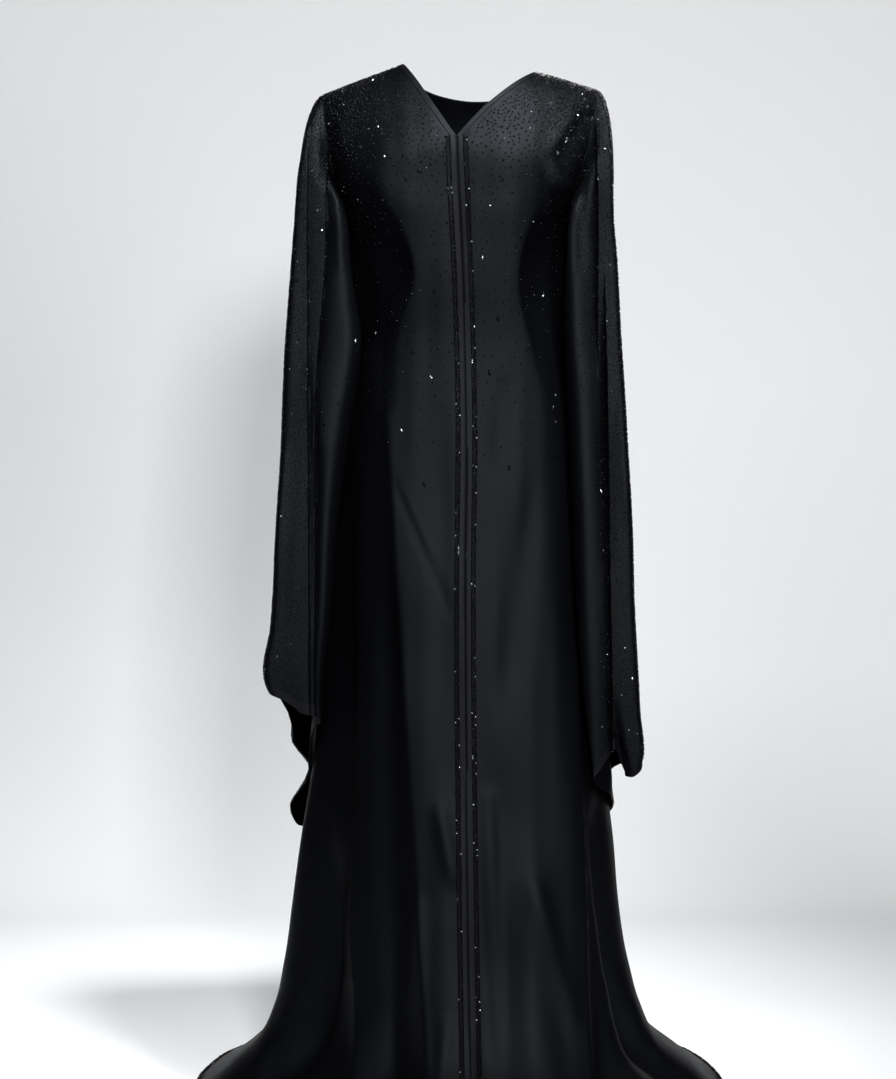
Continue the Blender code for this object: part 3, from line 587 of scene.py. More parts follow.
def hermite(part, span, start, end, start_slope, end_slope):
    """Cubic curve between two values a span apart, with a slope at each end."""
    start_weight = (1 + 2 * part) * (1 - part) ** 2
    end_weight = part ** 2 * (3 - 2 * part)
    start_pull = part * (1 - part) ** 2 * span * start_slope
    end_pull = part ** 2 * (part - 1) * span * end_slope
    return start_weight * start + end_weight * end + start_pull + end_pull


def track(table, names, name, at):
    """Smooth curve through one column of a table, read at the given places of its first one."""
    places = np.array([row[0] for row in table])
    values = np.array([row[names.index(name)] for row in table])
    slopes = np.gradient(values, places)
    at = np.clip(np.asarray(at, dtype=float), places[0], places[-1])
    low = np.clip(np.searchsorted(places, at, side="right") - 1, 0, len(places) - 2)
    high = low + 1
    span = places[high] - places[low]
    part = (at - places[low]) / span
    return hermite(part, span, values[low], values[high], slopes[low], slopes[high])


def ease(value):
    """Smooth step from 0 to 1."""
    value = np.clip(value, 0.0, 1.0)
    return value * value * (3 - 2 * value)


def rise(value, start, span):
    """Smooth step from 0 at the start to 1 a span further on."""
    return ease((value - start) / span)


def bell(value):
    return np.exp(-0.5 * value ** 2)


def circle(degrees):
    """Cosine and sine of angles in degrees."""
    angle = np.radians(degrees)
    return np.cos(angle), np.sin(angle)


def unit(vectors):
    return vectors / np.maximum(np.linalg.norm(vectors, axis=-1, keepdims=True), TINY)


def line_lengths(path):
    """Length along a line of points up to each of them."""
    return np.concatenate(([0.0], np.cumsum(np.linalg.norm(np.diff(path, axis=0), axis=-1))))


def read_line(at, places, line):
    """Values of a line of points, read at the given places along it."""
    return np.stack([np.interp(at, places, line[:, axis]) for axis in range(3)], axis=-1)


def divided(values, split):
    """The values with each step between them divided evenly."""
    return np.interp(np.arange((len(values) - 1) * split + 1) / split, np.arange(len(values)), values)


def side_name(side):
    return "right" if side == RIGHT else "left"


def body_size(name, drop):
    return track(BODY_SECTIONS, SECTION_COLUMNS, name, drop)


def front_flatness(drop):
    """How much flatter the fronts hang than the back, growing from the shoulder down."""
    return FRONT_FLATNESS * ease((drop - FLATNESS_START) / FLATNESS_SPAN + 0.5)


def closing_x(drop):
    """Where the two fronts meet."""
    return track(CENTRE_LINE, CENTRE_COLUMNS, "x", drop)


def half_width(x, drop):
    """Half width of the body's section on the side of x."""
    return np.where(x < 0, body_size("right_half", drop), body_size("left_half", drop))


def depth_and_power(is_front, drop):
    """Depth of the body's section to one side, and how square it is there."""
    depth = np.where(is_front, body_size("front_depth", drop), body_size("back_depth", drop))
    power = body_size("squareness", drop) + np.where(is_front, front_flatness(drop), 0.0)
    return depth, power


def shoulder_line(x):
    """Height of the shoulder seams and of the smooth saddle between them across the neck."""
    span = NECK_LEFT_X - NECK_RIGHT_X
    part = np.clip((x - NECK_RIGHT_X) / span, 0.0, 1.0)
    saddle = hermite(part, span, NECK_RIGHT_Z, NECK_LEFT_Z, SLOPE_RIGHT, SLOPE_LEFT)
    right = NECK_RIGHT_Z + SLOPE_RIGHT * (x - NECK_RIGHT_X)
    left = NECK_LEFT_Z + SLOPE_LEFT * (x - NECK_LEFT_X)
    return np.where(x < NECK_RIGHT_X, right, np.where(x > NECK_LEFT_X, left, saddle))


def shoulder_fade(drop):
    """How much of the shoulder slope is left at a drop."""
    return np.clip(1 - drop / SHOULDER_FADE, 0.0, 1.0) ** SHOULDER_FADE_POWER


def shoulder_rounding(drop):
    """Share of the body's depth at a drop, round over the top of the shoulder."""
    part = np.clip(drop / SHOULDER_ROUND, 0.0, 1.0)
    return np.sqrt(1 - (1 - part) ** 2)


def cloth_z(x, drop):
    """Height of the body's cloth at a drop from the shoulder line."""
    return shoulder_line(x) * shoulder_fade(drop) - drop


def turn_of_share(share, drop):
    """Turn on the front at a share of the half width, negative on the right."""
    power = body_size("squareness", drop)
    sine = np.clip(np.abs(share), 0.0, NEARLY_ONE)
    cosine = (1 - sine ** power) ** (1 / power)
    return np.sign(share) * np.degrees(np.arctan2(sine, cosine))


def turn_of_x(x, drop):
    """Turn on the front where the section has the given x."""
    return turn_of_share(x / half_width(x, drop), drop)


def fold_height(turn, drop):
    """Outward shift of the cloth by the long folds, which run level across the side seams."""
    total = np.zeros(np.broadcast(turn, drop).shape)
    beside_seam = (turn % 180.0) - 90.0
    turn = turn - beside_seam * np.exp(-(beside_seam / SEAM_CALM) ** 2)
    for face, first, last, first_share, last_share, first_w, last_w, first_h, last_h in BODY_FOLDS:
        part = np.clip((drop - first) / (last - first), 0.0, 1.0)
        centre = turn_of_share(first_share + (last_share - first_share) * part, drop)
        if face == "back":
            centre = 180.0 - centre
        away = (turn - centre + 180.0) % 360.0 - 180.0
        width = first_w + (last_w - first_w) * part
        height = first_h + (last_h - first_h) * part
        fade = rise(drop, first, FOLD_FADE) * ease((last - drop) / FOLD_FADE + FOLD_END)
        total = total + height * fade * bell(away / width)
    return total


def form_height(x, drop, cosine):
    """Outward shift of the fronts over the bust and in at the waist, none at the side seams."""
    total = np.zeros(np.broadcast(x, drop).shape)
    for form_x, form_drop, half_width, half_height, height in BODY_FORMS:
        total = total + height * bell((x - form_x) / half_width) * bell((drop - form_drop) / half_height)
    return total * ease(cosine / FORM_EDGE)


def edge_shift(x, drop, cosine):
    """Shift of the front behind the edges of its broad panel, none at the side seams."""
    total = np.zeros(np.broadcast(x, drop).shape)
    for side, path in FRONT_EDGES:
        past = side * (x - track(path, PANEL_COLUMNS, "x", drop))
        past = (past + np.sqrt(past ** 2 + EDGE_SOFTNESS ** 2)) / 2
        depth = np.where(drop > path[0][0], track(path, PANEL_COLUMNS, "depth", drop), 0.0)
        total = total - depth * (1 - np.exp(-past / track(path, PANEL_COLUMNS, "width", drop)))
    return total * ease(cosine / PANEL_FADE)


def push_out(x, y, z, shift, least_radius):
    """Point moved away from the middle line."""
    grown = 1 + shift / np.maximum(np.hypot(x, y), least_radius)
    return np.stack((x * grown, y * grown, z), axis=-1)


def body_point(turn, drop):
    """Point of the body's outer cloth face, as an array with x, y and z last."""
    turn, drop = np.broadcast_arrays(np.asarray(turn, dtype=float), np.asarray(drop, dtype=float))
    cosine, sine = circle(turn)
    depth, power = depth_and_power(cosine > 0, drop)
    scale = (np.abs(sine) ** power + np.abs(cosine) ** power) ** (-1 / power)
    x = half_width(sine, drop) * sine * scale
    y = -depth * shoulder_rounding(drop) * cosine * scale
    shift = fold_height(turn, drop) + form_height(x, drop, cosine) + edge_shift(x, drop, cosine)
    return push_out(x, y, cloth_z(x, drop), shift, BODY_LEAST_RADIUS)


def neckline_x(side, drop):
    """Front neckline: straight in front view on the right, slightly bowed on the left."""
    neck_x, neck_z = (NECK_RIGHT_X, NECK_RIGHT_Z) if side == RIGHT else (NECK_LEFT_X, NECK_LEFT_Z)
    v_z = cloth_z(V_X, V_DROP)
    x = neck_x + (V_X - neck_x) * drop / V_DROP
    for _ in range(NECKLINE_STEPS):
        part = np.clip((cloth_z(x, drop) - neck_z) / (v_z - neck_z), 0.0, 1.0)
        x = neck_x + (V_X - neck_x) * part
    bow = LEFT_NECK_BOW * np.sin(math.pi * part) if side == LEFT else 0.0
    return x - bow


def front_edge_x(side, drop):
    """Inner edge of a front: the neckline down to the V, then the closing edge."""
    return np.where(drop < V_DROP, neckline_x(side, np.minimum(drop, V_DROP)), closing_x(drop))


def neck_scoop(x):
    """Share of the back neckline's drop at each x, none at the shoulder seams."""
    part = np.clip((x - NECK_RIGHT_X) / (NECK_LEFT_X - NECK_RIGHT_X), 0.0, 1.0)
    return (4 * part * (1 - part)) ** BACK_NECK_POWER


def armhole_turn(drop):
    """Turn of the armhole's edge, measured from the centre front or the centre back."""
    part = np.clip(drop / UNDERARM_DROP, 0.0, 1.0)
    return 90.0 - ARMHOLE_SPAN * np.sqrt(1 - part ** ARMHOLE_ROUND)


def trim(points, rows=None, columns=None):
    """Draws one edge of a grid back along its own cloth, towards the grid's inside."""
    if rows is not None:
        edge, inside = rows
        step = points[inside] - points[edge]
        points[edge] = points[edge] + unit(step) * SEAM_HALF_GAP
    if columns is not None:
        edge, inside = columns
        step = points[:, inside] - points[:, edge]
        points[:, edge] = points[:, edge] + unit(step) * SEAM_HALF_GAP


def body_reach(side, y, drop):
    """How far the body's cloth stands out to one side at a given y."""
    depth, power = depth_and_power(y < 0, drop)
    share = np.clip(np.abs(y) / depth, 0.0, NEARLY_ONE)
    out = (1 - share ** power) ** (1 / power)
    turn = np.degrees(np.arctan2(side * out, np.where(y < 0, share, -share)))
    return half_width(side, drop) * out + np.maximum(fold_height(turn, drop), DEEPEST_FOLD)


def pleat_shift(side, face, place, drop):
    """Inward shift of a sleeve face by its pleats."""
    total = np.zeros(np.broadcast(place, drop).shape)
    for pleat_face, first, last, first_place, last_place, width, depth in SLEEVE_PLEATS[side]:
        if pleat_face == face:
            part = np.clip((drop - first) / (last - first), 0.0, 1.0)
            centre = first_place + (last_place - first_place) * part
            fade = rise(drop, first, PLEAT_FADE) * ease((last - drop) / PLEAT_FADE + PLEAT_END)
            total = total + depth * fade * bell((place - centre) / width)
    return total


def strip_shift(side, out, drop):
    """Backward shift of a sleeve's front face behind the folds between its hanging strips."""
    total = np.zeros(np.broadcast(out, drop).shape)
    for path in SLEEVE_STRIPS[side]:
        inside = track(path, STRIP_COLUMNS, "place", drop) - out
        depth = np.where(drop > path[0][0], track(path, STRIP_COLUMNS, "depth", drop), 0.0)
        width = track(path, STRIP_COLUMNS, "width", drop)
        behind = ease(inside / (2 * STRIP_EDGE) + 0.5)
        total = total + depth * behind * np.exp(-np.maximum(inside, 0.0) / width)
    return total


def sleeve_section(side, around, drop):
    """Plain section of a hanging sleeve: distance outward and y."""
    outer, inner, front, back = (
        track(SLEEVE_SECTIONS[side], SLEEVE_COLUMNS, name, drop) for name in SLEEVE_COLUMNS[1:]
    )
    inner = inner - SLEEVE_WRAP * rise(drop, SLEEVE_WRAP_START, SLEEVE_WRAP_SPAN)
    cosine, sine = circle(around)
    power = np.where((sine > 0) & (cosine > 0), SLEEVE_FRONT_SQUARENESS, SLEEVE_SQUARENESS)
    scale = (np.abs(cosine) ** power + np.abs(sine) ** power) ** (-1 / power)
    out = (outer + inner) / 2 + (outer - inner) / 2 * cosine * scale
    y = -np.where(sine > 0, front, back) * sine * scale
    out = out * (1 + SLEEVE_FRONT_TAPER * np.minimum(y, 0.0) * np.maximum(cosine, 0.0) ** 0.5)
    return out, y


def face_share(cosine):
    """How far a sleeve's cloth belongs to a face, from the cosine of its turn away from it."""
    return np.clip(cosine * FACE_BLEND, 0.0, 1.0)


def shape_sleeve(side, around, out, y, z):
    """Presses the pleats into a sleeve and holds its inner face clear of the body."""
    drop = -z
    cosine, sine = circle(around)
    front = pleat_shift(side, "front", out, drop) + strip_shift(side, out, drop)
    back = pleat_shift(side, "back", out, drop)
    outer = pleat_shift(side, "outer", y, drop)
    y = y + front * face_share(sine) - back * face_share(-sine)
    out = out - outer * face_share(cosine)
    limit = body_reach(side, y, drop) + SLEEVE_CLEARANCE
    near = 0.5 * (out + limit + np.sqrt((out - limit) ** 2 + SLEEVE_SOFTNESS ** 2))
    below = rise(drop, UNDERARM_DROP, UNDERARM_BLEND)
    out = out + (np.maximum(near, out) - out) * below
    return np.stack((side * out, y, z), axis=-1)


def fine_drops(pitch):
    """Row drops from the shoulder to the hem, closer over the shoulder and at the spread hem."""
    coarse = np.array(ARMHOLE_ROWS + SKIRT_ROWS)
    rows = [coarse[:1]]
    for first, last in zip(coarse[:-1], coarse[1:]):
        near_floor = first > SPREAD_DROP
        count = max(2, math.ceil((last - first) / (pitch * (FLOOR_ROW_SHARE if near_floor else 1.0))))
        share = np.arange(1, count + 1) / count
        rows.append(first + (last - first) * (share ** 2 if first < TOP_ROW_DROP else share))
    return np.concatenate(rows)


def crease_height(face, along, drop):
    """Outward shift by the short creases, given in the front view of a face."""
    total = np.zeros(np.broadcast(along, drop).shape)
    for x0, drop0, x1, drop1, width, height in CREASES[face]:
        step_x = x1 - x0
        step_drop = drop1 - drop0
        length = math.hypot(step_x, step_drop)
        part = ((along - x0) * step_x + (drop - drop0) * step_drop) / length ** 2
        inside = np.clip(part, 0.0, 1.0)
        away = np.hypot(along - x0 - step_x * inside, drop - drop0 - step_drop * inside)
        taper = ease(part / CREASE_TAPER + 0.5) * ease((1 - part) / CREASE_TAPER + 0.5)
        total = total + height * bell(away / width) * taper
    return total


def cloth_ripple(x, y, z):
    """Slight unevenness of hanging satin, longer down the cloth than across it."""
    total = np.zeros(np.shape(x))
    for across_x, across_y, down, phase, height in RIPPLES:
        total = total + height * np.sin(x * across_x + y * across_y + z * down + phase)
    return total


def body_shift(x, y, drop, cosine):
    """Extra relief of the body's cloth over its long folds, none at the shoulder seam."""
    front = crease_height("front", x, drop) * ease(cosine / FORM_EDGE)
    back = crease_height("back", x, drop) * ease(-cosine / FORM_EDGE)
    return (front + back + cloth_ripple(x, y, -drop)) * ease(drop / RELIEF_START)


def fine_body_point(turn, drop):
    """Body point with creases and ripples, moved away from the middle line."""
    point = body_point(turn, drop)
    x, y, z = np.moveaxis(point, -1, 0)
    cosine = np.broadcast_to(circle(turn)[0], x.shape)
    shift = body_shift(x, y, np.broadcast_to(drop, x.shape), cosine)
    return push_out(x, y, z, shift, RELIEF_LEAST_RADIUS)


def fine_front(side):
    """Fine grid of a front, with the columns of its border and bead band first, and its drops."""
    drops = fine_drops(BODY_ROW_PITCH)
    inner_x = front_edge_x(side, drops)
    offsets = np.concatenate((
        (0.0, EDGE_TURN, BORDER_WIDTH / 2, BORDER_WIDTH),
        np.linspace(BORDER_WIDTH, BORDER_WIDTH + BEAD_BAND_WIDTH, EDGE_COLUMNS + 1)[1:],
    ))
    columns = [turn_of_x(inner_x + side * offset, drops) for offset in offsets]
    last = columns[-1]
    outer = side * armhole_turn(drops)
    for step in range(1, FINE_FRONT_COLUMNS + 1):
        columns.append(last + (outer - last) * step / FINE_FRONT_COLUMNS)
    points = fine_body_point(np.stack(columns, axis=1), drops[:, None])
    trim(points, rows=(0, 1))
    trim(points, columns=(0, 1))
    skirt = np.searchsorted(drops, UNDERARM_DROP)
    trim(points[skirt:], columns=(-1, -2))
    points[drops > V_DROP, 0, 1] += EDGE_TURN_DEPTH
    return points, drops


def fine_back():
    """Fine grid of the back."""
    drops = fine_drops(BODY_ROW_PITCH)
    left_tip = 180.0 - armhole_turn(0.0)
    right_tip = 180.0 + armhole_turn(0.0)
    even = np.linspace(0.0, 1.0, FINE_BACK_COLUMNS + 1)
    edge = 90.0 - armhole_turn(drops)
    first = 90.0 + edge[:, None]
    last = 270.0 - edge[:, None]
    turns = first + (last - first) * even[None, :]
    scoop = neck_scoop(body_point(left_tip + (right_tip - left_tip) * even, TOP_DROP)[:, 0])
    settle = np.clip(1 - drops / UNDERARM_DROP, 0.0, 1.0)[:, None]
    points = fine_body_point(turns, drops[:, None] + BACK_NECK_DROP * scoop[None, :] * settle)
    trim(points, rows=(0, 1))
    skirt = np.searchsorted(drops, UNDERARM_DROP)
    trim(points[skirt:], columns=(0, 1))
    trim(points[skirt:], columns=(-1, -2))
    return points


def armhole_ring(side, front_grid, back_grid, drops, around):
    """Points of the armhole's edge at the given angles around the sleeve."""
    arm_rows = np.searchsorted(drops, UNDERARM_DROP) + 1
    front_edge = front_grid[:arm_rows, -1]
    back_edge = back_grid[:arm_rows, 0 if side == LEFT else -1]
    ring = np.concatenate((front_edge, back_edge[::-1][1:]), axis=0)
    height = np.clip(1 - 2 * drops[:arm_rows] / UNDERARM_DROP, -1.0, 1.0)
    front_angles = np.degrees(np.arccos(height))
    angles = np.concatenate((front_angles, 360.0 - front_angles[::-1][1:]))
    return read_line(around, angles, ring)


def press_sleeve(side, points, cosine, sine):
    """Adds creases and ripples to a sleeve's grid, none at the shoulder."""
    x, y, z = (points[..., axis].copy() for axis in range(3))
    face = "sleeve_" + side_name(side)
    away = rise(-z, SLEEVE_RELIEF_START, SLEEVE_RELIEF_SPAN)
    soft = cloth_ripple(x, y, z)
    front_lift = crease_height(face, np.abs(x), -z) * face_share(sine)
    outer_lift = crease_height(face + "_side", y, -z) * face_share(cosine)
    points[..., 0] = x + side * (outer_lift + soft * np.clip(cosine, 0.0, 1.0)) * away
    points[..., 1] = y - (front_lift + soft * sine) * away


def fine_sleeve(side, front_grid, back_grid, drops):
    """Fine grid of a sleeve and the angle of each column."""
    around = divided(SLEEVE_ANGLES, SLEEVE_COLUMN_SPLIT)
    cosine, sine = circle(around)
    start = armhole_ring(side, front_grid, back_grid, drops, around)
    out, y = sleeve_section(side, around, SLEEVE_TOP)
    end = np.stack((side * out, y, np.full_like(out, -SLEEVE_TOP)), axis=-1)
    reach = np.linalg.norm(end - start, axis=-1)[:, None]
    outward = side * np.ones_like(cosine)
    leave = unit(np.stack((outward, -LEAVE_SPREAD * sine, LEAVE_LIFT * cosine - LEAVE_FALL), axis=-1))
    leave_slope = leave * (LEAVE_PULL * reach + LEAVE_LEAST_PULL)
    arrive_slope = np.array((0.0, 0.0, -1.0)) * (ARRIVE_PULL * reach)
    rows = []
    for step in divided(SLEEVE_LOFT_STEPS, SLEEVE_ROW_SPLIT)[:-1]:
        point = hermite(step, 1.0, start, end, leave_slope, arrive_slope)
        rows.append(shape_sleeve(side, around, side * point[:, 0], point[:, 1], point[:, 2]))
    cuff = track(CUFF_LINES[side], CUFF_COLUMNS, "drop", around)
    hang_steps = np.concatenate((
        np.linspace(0, CUFF_ROWS_START, FINE_HANG_ROWS),
        np.linspace(CUFF_ROWS_START, 1.0, CUFF_ROWS)[1:],
    ))
    for step in hang_steps:
        drop = SLEEVE_TOP + (cuff - SLEEVE_TOP) * step
        out, y = sleeve_section(side, around, drop)
        rows.append(shape_sleeve(side, around, out, y, -drop))
    points = np.stack(rows, axis=0)
    press_sleeve(side, points, cosine, sine)
    points[0] = start + leave * 2 * SEAM_HALF_GAP
    points[:, -1] = points[:, 0]
    return points, around


def is_ring(points):
    return np.allclose(points[:, 0], points[:, -1])


def grid_frame(points):
    """Unit normals, pointing out of the garment, and unit directions down the cloth."""
    down = np.gradient(points, axis=0)
    across = np.gradient(points, axis=1)
    normals = unit(np.cross(across, down))
    middle = points[..., :2].mean(axis=(0, 1)) if is_ring(points) else np.zeros(2)
    facing = np.sign(np.mean(np.sum(normals[..., :2] * (points[..., :2] - middle), axis=-1)))
    return normals * facing, unit(down)


def grid_lengths(points):
    """Cloth coordinates in metres, across and down, for each point of a grid."""
    across = np.linalg.norm(np.diff(points, axis=1), axis=-1).mean(axis=0)
    down = np.linalg.norm(np.diff(points, axis=0), axis=-1).mean(axis=1)
    across = np.concatenate(([0.0], np.cumsum(across)))
    down = np.concatenate(([0.0], np.cumsum(down)))
    return np.stack(np.meshgrid(across, down), axis=-1)


def add_object(name, data):
    piece = bpy.data.objects.new(name, data)
    bpy.context.collection.objects.link(piece)
    return piece


def cloth_piece(name, points, material, nodes=(), thickness=SHELL, offset=-1.0):
    """A thin cloth shell over a grid of points, with its own flat coordinates as a UV map."""
    rows, columns = points.shape[:2]
    ring = is_ring(points)
    used = columns - 1 if ring else columns
    index = np.arange(rows * used).reshape(rows, used)
    right = np.roll(index, -1, axis=1) if ring else index[:, 1:]
    left = index if ring else index[:, :-1]
    quads = np.stack((left[:-1], right[:-1], right[1:], left[1:]), axis=-1).reshape(-1, 4)
    vertices = points[:, :used].reshape(-1, 3)
    corners = vertices[quads]
    normals = np.cross(corners[:, 2] - corners[:, 0], corners[:, 3] - corners[:, 1])
    middle = vertices[:, :2].mean(axis=0) if ring else np.zeros(2)
    facing = np.sum(normals[:, :2] * (corners.mean(axis=1)[:, :2] - middle))
    if facing < 0:
        quads = quads[:, ::-1]
    mesh = bpy.data.meshes.new(name)
    mesh.from_pydata(vertices.tolist(), [], quads.tolist())
    flat = grid_lengths(points)[:, :used].reshape(-1, 2)
    uv = mesh.uv_layers.new(name="cloth")
    uv.data.foreach_set("uv", flat[quads.reshape(-1)].astype(np.float32).ravel())
    mesh.shade_smooth()
    mesh.materials.append(material)
    piece = add_object(name, mesh)
    shell = piece.modifiers.new("Shell", "SOLIDIFY")
    shell.thickness = thickness
    shell.offset = offset
    edges = piece.modifiers.new("Edges", "EDGE_SPLIT")
    edges.split_angle = RIM_ANGLE
    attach(piece, "root")
    if nodes:
        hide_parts(*nodes)


def laid_piece(name, points, normals, material, thickness, nodes=()):
    """A thin strip laid on the outer face of the cloth; gives its grid."""
    strip = points + normals * LAY_GAP
    cloth_piece(name, strip, material, nodes, thickness, 1.0)
    return strip


def dome_shape(base, sides, top, height):
    """Open-bottomed faceted stone: a ring, a smaller ring above it and a flat table.

    The radius of the upper ring and the height are shares of the lower ring's radius.
    """
    angles = np.arange(sides) * 2 * math.pi / sides
    ring = np.stack((np.cos(angles), np.sin(angles), np.zeros(sides)), axis=-1)
    lower = ring * base
    upper = ring * (base * top) + np.array((0.0, 0.0, base * height))
    faces = [(i, (i + 1) % sides, sides + (i + 1) % sides, sides + i) for i in range(sides)]
    faces.append(tuple(range(sides, 2 * sides)))
    return np.concatenate((lower, upper)), faces


def drop_shape(length, width, height):
    """Long faceted stone, pointed at both ends, with a ridge along its top."""
    points = [(-length / 2, 0, 0), (length / 2, 0, 0)]
    for share in (-0.25, 0.25):
        points.append((share * length, -width / 2, 0))
        points.append((share * length, width / 2, 0))
        points.append((share * length, 0, height))
    faces = [(0, 2, 4), (0, 4, 3), (1, 7, 5), (1, 6, 7), (2, 5, 7, 4), (4, 7, 6, 3)]
    return np.array(points, dtype=float), faces


def bar_shape(length, width, height):
    """Short rounded thread stitch or bugle."""
    half = np.array((length, width, height)) / 2
    points = np.array([
        (-1, -0.6, 0), (-1, 0.6, 0), (-0.6, 0, 2), (0.6, 0, 2),
        (1, -0.6, 0), (1, 0.6, 0), (0, -1, 0.6), (0, 1, 0.6),
    ]) * half
    faces = [(0, 6, 2), (6, 3, 2), (6, 4, 3), (1, 2, 7), (7, 2, 3), (7, 3, 5), (0, 2, 1), (4, 5, 3)]
    return points, faces


def scatter_mesh(name, shape, centres, normals, directions, scales, material):
    """Joins many copies of a small shape, each standing on its own place of the cloth."""
    base, faces = shape
    sideways = unit(np.cross(normals, directions))
    forward = np.cross(sideways, normals)
    local = base[None] * scales[:, None, None]
    placed = (
        centres[:, None]
        + local[..., 0:1] * forward[:, None]
        + local[..., 1:2] * sideways[:, None]
        + local[..., 2:3] * normals[:, None]
    )
    count = len(centres)
    size = len(base)
    loops = np.concatenate([np.array(face) for face in faces])
    lengths = np.tile([len(face) for face in faces], count)
    all_loops = (np.arange(count)[:, None] * size + loops[None]).ravel()
    loop_starts = np.concatenate(([0], np.cumsum(lengths)[:-1]))
    mesh = bpy.data.meshes.new(name)
    mesh.vertices.add(count * size)
    mesh.vertices.foreach_set("co", placed.astype(np.float32).ravel())
    mesh.loops.add(len(all_loops))
    mesh.loops.foreach_set("vertex_index", all_loops.astype(np.int32))
    mesh.polygons.add(len(lengths))
    mesh.polygons.foreach_set("loop_start", loop_starts.astype(np.int32))
    mesh.update(calc_edges=True)
    mesh.validate()
    mesh.materials.append(material)
    piece = add_object(name, mesh)
    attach(piece, "root")


def scatter_beads(name, shape, places, normals, directions, rng, sizes, silver_share, looks, black):
    """Beads of uneven size at the given places, a few of them silver."""
    scales = rng.uniform(*sizes, len(places))
    is_silver = rng.random(len(places)) < silver_share
    scales[is_silver] *= SILVER_SCALE
    for word, chosen, look in (("black", ~is_silver, black), ("silver", is_silver, "silver")):
        if chosen.any():
            scatter_mesh(f"{name}_{word}", shape, places[chosen], normals[chosen], directions[chosen],
                         scales[chosen], looks[look])


def sow(points, density, rng):
    """Random places on a grid of cloth, at a number for each square metre, none too close."""
    normals, _ = grid_frame(points)
    diagonal_a = points[1:, 1:] - points[:-1, :-1]
    diagonal_b = points[1:, :-1] - points[:-1, 1:]
    area = np.linalg.norm(np.cross(diagonal_a, diagonal_b), axis=-1) / 2
    middle = (density[1:, 1:] + density[:-1, :-1]) / 2
    weight = (area * middle).ravel()
    count = int(weight.sum() * SOW_SURPLUS)
    chosen = rng.choice(len(weight), size=count, p=weight / weight.sum())
    row, column = np.divmod(chosen, area.shape[1])
    u = rng.random(count)[:, None]
    v = rng.random(count)[:, None]

    def blend(values):
        top = values[row, column] * (1 - u) + values[row, column + 1] * u
        bottom = values[row + 1, column] * (1 - u) + values[row + 1, column + 1] * u
        return top * (1 - v) + bottom * v

    places = blend(points)
    spacing = SOW_SPACING / np.sqrt(np.maximum(middle.ravel()[chosen], 1.0))
    tree = kdtree.KDTree(count)
    for number, place in enumerate(places):
        tree.insert(place, number)
    tree.balance()
    kept = np.ones(count, dtype=bool)
    for number in range(count):
        if kept[number]:
            for _, other, _ in tree.find_range(places[number], spacing[number]):
                if other > number:
                    kept[other] = False
    normal = unit(blend(normals)[kept])
    normal = unit(normal + rng.normal(0.0, BEAD_TILT, normal.shape))
    direction = rng.normal(0.0, 1.0, normal.shape)
    return places[kept], normal, direction


def sow_beads(name, points, density, seed, looks, radius=BEAD_RADIUS):
    """Black beads and a few silver ones over one cloth piece."""
    rng = np.random.default_rng(seed)
    places, normals, directions = sow(points, density, rng)
    scatter_beads(name, dome_shape(radius, *BEAD_SHAPE), places, normals, directions, rng, BEAD_SIZES,
                  SILVER_SHARE, looks, "bead")


def body_density(points):
    """Beads for each square metre of the fronts and the back."""
    out = np.abs(points[..., 0])
    drop = -points[..., 2]
    shoulder = SHOULDER_BEADS * np.exp(-np.maximum(drop - SHOULDER_BEAD_DROP, 0.0) / SHOULDER_BEAD_FADE)
    side = 1 + SIDE_BEADS * rise(out, *SIDE_BEADS_START) * (1 - rise(drop, *SIDE_BEADS_END))
    chest = CHEST_BEADS * (1 - rise(drop, CHEST_BEAD_DROP, CHEST_BEAD_FADE))
    return (shoulder + chest) * side


def sleeve_density(side, points, around):
    """Beads for each square metre of a sleeve: dense on its outer strip, few towards the body."""
    drop = -points[..., 2]
    past = np.abs(points[..., 0]) - track(SLEEVE_STRIPS[side][0], STRIP_COLUMNS, "place", drop)
    cosine = circle(around)[0][None, :]
    outer = ease(past / STRIP_BEAD_EDGE + 0.5) * rise(cosine, *STRIP_TURN)
    second = rise(past, *SECOND_STRIP_PLACE) * (1 - rise(drop, *SECOND_STRIP_END))
    second = second * rise(cosine, *SECOND_STRIP_TURN)
    inner = INNER_SLEEVE_BEADS * (1 - rise(drop, *INNER_BEADS_END)) * rise(cosine, *INNER_TURN)
    top = SHOULDER_BEADS * (1 - rise(drop, *SLEEVE_TOP_END))
    return STRIP_BEADS * np.maximum(outer, second * SECOND_STRIP_SHARE) + inner + top


def path_places(path, normals, pitch, start=0.0):
    """Places, normals and directions at even steps along a line of points."""
    lengths = line_lengths(path)
    at = np.arange(start, lengths[-1] - pitch * PATH_END, pitch)
    normal = unit(read_line(at, lengths, normals))
    direction = unit(read_line(at, lengths, np.gradient(path, axis=0)))
    return read_line(at, lengths, path), normal, direction


def stitch_line(name, path, normals, looks, pitch=STITCH_PITCH, lift=STITCH_LIFT):
    """A row of short thread stitches along a line on the cloth."""
    places, normal, direction = path_places(path, normals, pitch)
    scatter_mesh(name, bar_shape(STITCH_LENGTH, STITCH_WIDTH, STITCH_WIDTH), places + normal * lift,
                 normal, direction, np.ones(len(places)), looks["thread"])


